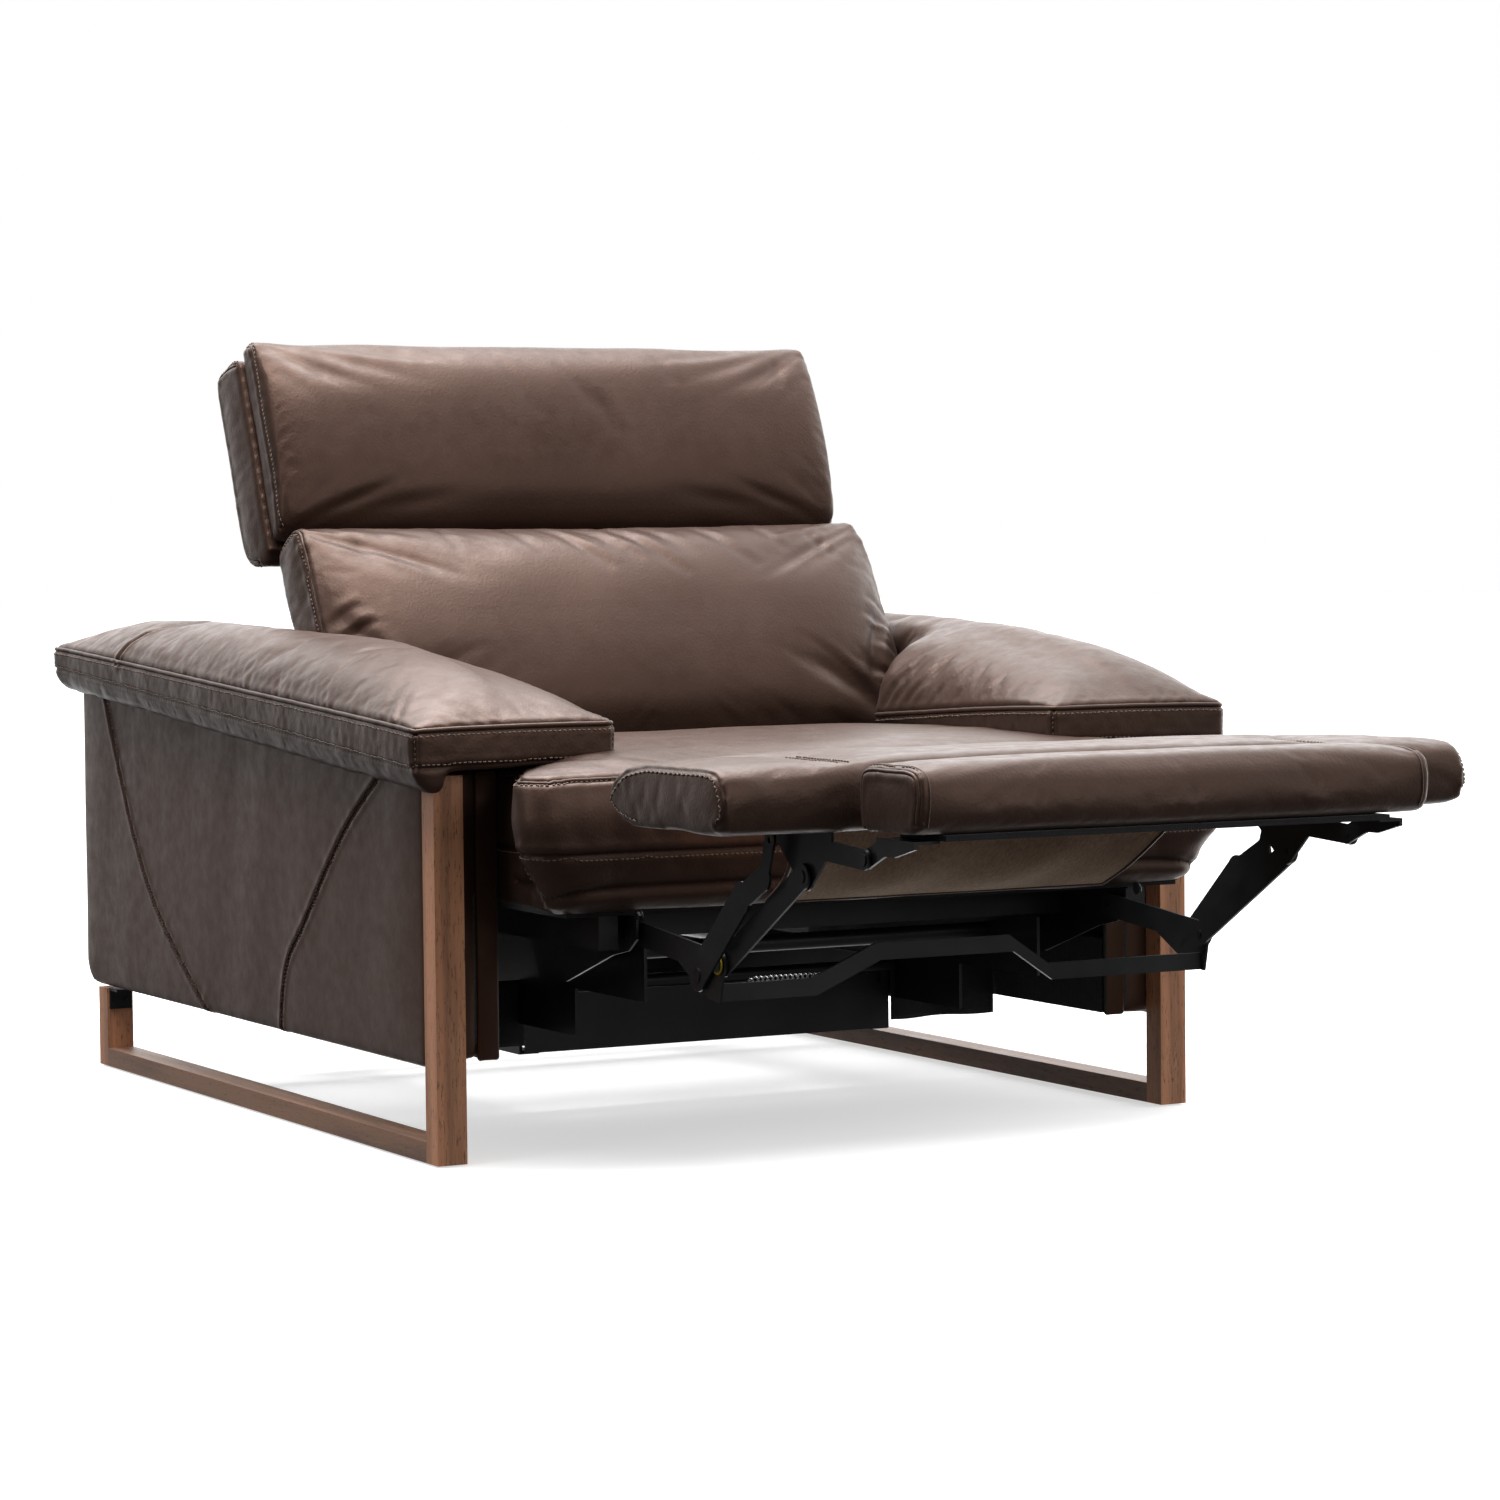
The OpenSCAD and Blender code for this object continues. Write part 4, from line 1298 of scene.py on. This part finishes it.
def start_footrest():
    middle = [
        (-0.903, 0.440), (-0.914, 0.421), (-0.945, 0.404), (-1.05, 0.4035), (-1.155, 0.404), (-1.163, 0.430),
        (-1.157, 0.461), (-1.138, 0.469), (-1.06, 0.470), (-0.985, 0.469), (-0.930, 0.460),
    ]
    end = [
        (-0.910, 0.428), (-0.928, 0.413), (-0.975, 0.401), (-1.05, 0.404), (-1.150, 0.412), (-1.171, 0.421),
        (-1.162, 0.446), (-1.141, 0.468), (-1.06, 0.468), (-0.985, 0.466), (-0.944, 0.455),
    ]
    obj = joined("footrest_pillow", [pillow(at, middle, end, 0.460, 0.020)])
    voxels(obj, 0.0065, 2)
    outline = [
        (-0.975, 0.401), (-0.928, 0.413), (-0.910, 0.428), (-0.925, 0.442), (-0.944, 0.456), (-0.985, 0.467),
    ]
    outline += [
        (-1.06, 0.469), (-1.141, 0.469), (-1.156, 0.458), (-1.164, 0.444), (-1.172, 0.421), (-1.150, 0.412),
    ]
    lines = at_ends(at, 0.461, outline)
    lines += at_ends(at, 0.30, [(y, 0.475) for y in (-1.13, -1.10, -1.06, -1.02)])
    to_inflate(obj, lines, 0.008, 3.0, lambda co: np.where(co[:, 2] < 0.409, 1.0, 0.0), 0.003)
    flip_middle = [
        (-1.179, 0.409), (-1.186, 0.4055), (-1.232, 0.4055),
        (-1.278, 0.4055), (-1.293, 0.415), (-1.298, 0.440),
        (-1.294, 0.462), (-1.279, 0.471), (-1.234, 0.472), (-1.192, 0.471), (-1.179, 0.462),
    ]
    flip_end = [
        (-1.180, 0.410), (-1.187, 0.4065), (-1.232, 0.4065),
        (-1.276, 0.4065), (-1.289, 0.416), (-1.293, 0.440),
        (-1.291, 0.460), (-1.277, 0.468), (-1.234, 0.469), (-1.194, 0.468), (-1.181, 0.460),
    ]
    flip = joined("flip_pillow", [pillow(at, flip_middle, flip_end, 0.311, 0.014)])
    voxels(flip, 0.0055, 2)
    flip_lines = at_ends(at, 0.311, [*flip_end[4:], *flip_end[:2]])
    to_inflate(flip, flip_lines, 0.006, 3.0, lambda co: np.where(co[:, 2] < 0.4085, 1.0, 0.0), 0.002)
    return obj, lines, flip, flip_lines


def finish_footrest(obj, lines, flip, flip_lines):
    laid = prepared(obj, lines, 0.0009, 0.14)
    caps, tops = laid[:2], laid[2:]
    for k, line in enumerate(caps):
        seam(obj, line, 0.0015, 0.0026, 0.0004, 0.0005, 0.014, k)
    for line in tops:
        seam(obj, line, 0.0022, 0.0030, 0.0008)
    surface = Surface(obj)
    rows, top_rows = [], []
    for line in caps:
        spots, _, side = laid_out(surface, line)
        outward = 1 if side[len(side) // 2][0] * np.sign(spots[0][0]) > 0 else -1
        sewn = surface.lay(spots + side * 0.0045 * outward)
        rows += stitches(*sewn, zigzag=0.55, pitch=0.0050, length=0.0050)
    for line in tops:
        spots, _ = surface.lay(line)
        for off in (-0.007, 0.007):
            top_rows += stitches(*surface.lay(spots + np.array([off, 0, 0])))
    finish_piece(obj, "cushion", "footrest", ["footrest_pad"])
    trim("footrest_stitches", rows, "thread", "footrest")
    trim("footrest_top_stitches", top_rows, "thread", "footrest")
    laid = prepared(flip, flip_lines, 0.0006, 0.12)
    for k, line in enumerate(laid):
        seam(flip, line, 0.0020, 0.0026, 0.0008, 0.0005, 0.012, k)
    surface = Surface(flip)
    rows, pipe = [], []
    for line in laid:
        spots, normals = surface.lay(line)
        inward = np.array([-np.sign(spots[0][0]), 0, 0])
        spots2, normals2 = surface.lay(spots + 0.009 * inward)
        pipe.append(tube(spots[::2] + normals[::2] * 0.0006, 0.0020))
        pipe.append(tube(spots2[::2] + normals2[::2] * 0.0001, 0.0013))
        rows += stitches(*surface.lay(spots + 0.0055 * inward))
    finish_piece(flip, "cushion", "flip_panel", ["flip_pad"])
    piping = trim("flip_piping", pipe, "piping", "flip_panel")
    sewn = trim("flip_stitches", rows, "thread_dark", "flip_panel")
    for piece in (flip, piping, sewn):
        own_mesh(piece)


def on_sling(t, c):
    """A point of the sling: t from the pad to the free hem, c from one side to the other."""
    u = 2 * c - 1
    sag = 0.016 * math.sin(math.pi * t) * (1 - 0.4 * u * u)
    wave = 0.0018 * math.sin(9 * u + 3 * t) * math.sin(math.pi * t)
    x = 0.250 * u * (1 - 0.13 * t - 0.03 * math.sin(math.pi * t))
    return at(x, -0.937 + 0.129 * t, 0.3985 - 0.096 * t - sag + wave)


def make_sling():
    """A suede sheet that hangs from the footrest back towards the seat, with bound edges."""
    rows, cols = 18, 48
    obj = sheet_of("sling_suede", rows, cols, on_sling, 0.0022)
    subdivided(obj)
    body = body_of(nodes["sling"])[0]
    finish_piece(obj, "suede", body, ["sling"])
    edges = []
    for c in (0, 1):
        edges.append(tube(curve_points([on_sling(r / rows, c) for r in range(rows + 1)], 0.006), 0.0026))
    edges.append(tube(curve_points([on_sling(1, c / cols) for c in range(cols + 1)], 0.006), 0.0024))
    binding = trim("sling_binding", edges, "piping", body)
    for piece in (obj, binding):
        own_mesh(piece)


def make_linings():
    """Black lining cloth stretched over the open ends of the metal base."""
    for name, x0, x1, y, z0, z1 in (
        ("rear_lining", -0.300, 0.300, 0.3335, 0.082, 0.172),
        ("left_lining", -0.4035, -0.2535, -0.262, 0.092, 0.172),
        ("right_lining", 0.2535, 0.4035, -0.262, 0.092, 0.172),
    ):

        def place(r, c):
            x, z = x0 + (x1 - x0) * c, z0 + (z1 - z0) * r
            free = math.sin(math.pi * c) * (1 - r)
            return at(x, y + 0.0030 * free * math.sin(60 * x + 2), z + 0.0015 * free * math.sin(43 * x))

        obj = sheet_of(name, 10, 40, place, 0.0014)
        finish_piece(obj, "cloth", "base")


# ---- Panels behind ----


def make_rear():
    obj = copy_of("rear_panel", "rear_leather")
    voxels(obj, 0.0085, 5)
    co = points(obj)
    rear = np.clip((co[:, 1] - MID - 0.580) / 0.006, 0, 1)
    edge = np.minimum.reduce([0.43 - np.abs(co[:, 0]), co[:, 2] - 0.112, 0.500 - co[:, 2]])
    co[:, 1] += rear * (0.006 * (1 - np.exp(-np.clip(edge, 0, 1) / 0.05)) + 0.001 * ripple(co, 0.2))
    set_points(obj, co)
    upright = [(0.592, 0.495), (0.594, 0.3), (0.592, 0.116)]
    level = curve_points([at(-0.42, 0.59, 0.462), at(0, 0.594, 0.462), at(0.42, 0.59, 0.462)])
    lines = prepared(obj, [*at_ends(at, 0.215, upright), level])
    for k, line in enumerate(lines):
        seam(obj, line, 0.0028, 0.0030, 0.0010, 0.0006, 0.02, k)
    surface = Surface(obj)
    rows = []
    for line in lines:
        spots, _, side = laid_out(surface, line)
        for off in (-0.0048, 0.0048):
            rows += stitches(*surface.lay(spots + side * off))
    finish_piece(obj, "arm", "base", ["rear_panel"])
    trim("rear_stitches", rows, "thread_dark", "base")
    cover = copy_of("back_rear_cover", "back_cover_leather")
    voxels(cover, 0.0075, 5)
    normal = Vector((0, math.cos(BACK_LEAN), -math.sin(BACK_LEAN)))
    co = points(cover)
    rel = co - np.array(on_back(0, 0, 0))
    n = rel @ np.array(normal)
    h = rel @ np.array([0, math.sin(BACK_LEAN), math.cos(BACK_LEAN)])
    edge = np.minimum.reduce([0.352 - np.abs(co[:, 0]), h - 0.024, 0.312 - h])
    bulge = np.clip((n - 0.072) / 0.005, 0, 1) * 0.007 * (1 - np.exp(-np.clip(edge, 0, 1) / 0.05))
    set_points(cover, co + np.outer(bulge, np.array(normal)))
    across = curve_points([on_back(x, 0.086, 0.262) for x in (-0.345, -0.17, 0, 0.17, 0.345)])
    line = prepared(cover, [across])[0]
    seam(cover, line, 0.0026, 0.0030, 0.0010, 0.0006, 0.02, 3)
    spots, normals = Surface(cover).lay(line)
    rows = stitches(spots + np.array([0, 0, 0.005]), normals)
    finish_piece(cover, "arm", "back", ["back_rear_cover"])
    trim("back_cover_stitches", rows, "thread_dark", "back")


# ---- Metalwork ----


def bolt(place, axis, size=0.007, head=0.005):
    """A hexagon bolt head with a domed, chamfered top and a washer."""
    axis = Vector(axis).normalized()
    u = axis.orthogonal().normalized()
    v = axis.cross(u)
    rings = []
    levels = [(size * 1.35, 0.0, 24), (size * 1.35, 0.0012, 24), (size, 0.0012, 6), (size, head * 0.8, 6)]
    levels += [(size * 0.82, head, 6), (size * 0.4, head * 1.02, 6)]
    for radius, lift, sides in levels:
        ring = []
        for k in range(24):
            a = k * math.pi / 12
            r = radius
            if sides == 6:
                r = radius * math.cos(math.pi / 6) / math.cos((a % (math.pi / 3)) - math.pi / 6)
            ring.append(Vector(place) + axis * lift + (u * math.cos(a) + v * math.sin(a)) * r)
        rings.append(ring)
    return loft(rings)


def make_metal():
    y, z, start, end = -0.850, 0.222, -0.262, -0.158
    turns, wire = 17, 0.0009
    path = []
    for k in range(turns * 14 + 1):
        t = k / (turns * 14)
        r = 0.0041 * min(1.0, 12 * t + 0.4, 12 * (1 - t) + 0.4)
        ang = 2 * math.pi * turns * t
        path.append(at(start + (end - start) * t, y + r * math.cos(ang), z + r * math.sin(ang)))
    spring = joined("spring_coil", [tube(np.array(path), wire, 6)])
    body = body_of(nodes["return_spring"])[0]
    finish_piece(spring, "zinc", body, ["return_spring"])
    groups = {}

    def put(body, *solids):
        groups.setdefault(body, []).extend(solids)

    for s in (-1, 1):
        out = (s, 0, 0)
        for y, z in ((-0.640, 0.330), (-0.56, 0.262), (-0.715, 0.285)):
            put("seat_carriage", bolt(at(s * 0.3245, y, z), out, 0.0055))
        for y in (-0.20, 0.24):
            put("base", bolt(at(s * 0.262, y, 0.130), (0, -1, 0), 0.005))
        rings = []
        section = [(0.3131, 0.0096), (0.3131, 0.0112), (0.3139, 0.0116), (0.3147, 0.0112), (0.3147, 0.0096)]
        for x, r in section:
            angles = np.arange(24) * math.pi / 12
            rings.append([at(s * x, -0.875 + r * math.cos(a), 0.245 + r * math.sin(a)) for a in angles])
        bush = joined(f"elbow_bush_{'right' if s > 0 else 'left'}", [loft(rings)])
        finish_piece(bush, "brass" if s < 0 else "dark_zinc", "lower_linkage")
        put("lower_linkage", bolt(at(s * 0.3147, -0.875, 0.245), out, 0.0062, 0.0012))
    for body, solids in groups.items():
        obj = joined(body + "_bolts", solids)
        finish_piece(obj, "steel", body, smooth=False)


def paint_nodes():
    """Materials for the CAD nodes that stay, and softened edges."""
    steel = (
        "post_brackets base_rails cross_channel cross_angles seat_side_rails seat_cross_rails runners"
        " linkage_plates torque_tube hinge_brackets lower_links cross_bar upper_links control_links"
        " footrest_brackets flip_brackets hinge_arms ratchet_plates"
    )
    pins = "linkage_pins hinge_pins link_rivets upper_pins flip_pins headrest_pins"
    plastic = "floor_glides power_inlet switch_plate recline_button footrest_button actuator_motor"
    for key, width, segments, names in (
        ("wood_z", 0.0018, 3, "left_front_post right_front_post left_rear_post right_rear_post"),
        ("wood_y", 0.0018, 3, "left_floor_rail right_floor_rail"),
        ("steel", 0.0006, 2, steel),
        ("dark_zinc", 0.0005, 2, pins),
        ("zinc", 0.0005, 2, "actuator"),
        ("plastic", 0.0006, 2, plastic),
        ("cloth", 0.003, 3, "inner_boards"),
        ("cloth", 0.0012, 2, "seat_deck footrest_board flip_board back_frame headrest_board"),
    ):
        for name in names.split():
            paint(nodes[name], key)
            edges = nodes[name].modifiers.new("edges", "BEVEL")
            edges.width = width
            edges.segments = segments
            edges.limit_method = "ANGLE"
            edges.angle_limit = math.radians(50)


make_camera()
make_stage()
paint_nodes()
arm_pad = start_arm_pad()
back = start_back()
head = start_head()
seat = start_seat()
foot = start_footrest()
run_cloths()
finish_arm_pads(*arm_pad)
finish_back(*back)
finish_head(*head)
finish_seat(*seat)
finish_footrest(*foot)
for sign, word in ((1, "right"), (-1, "left")):
    make_side(sign, word)
make_rear()
make_sling()
make_linings()
make_metal()
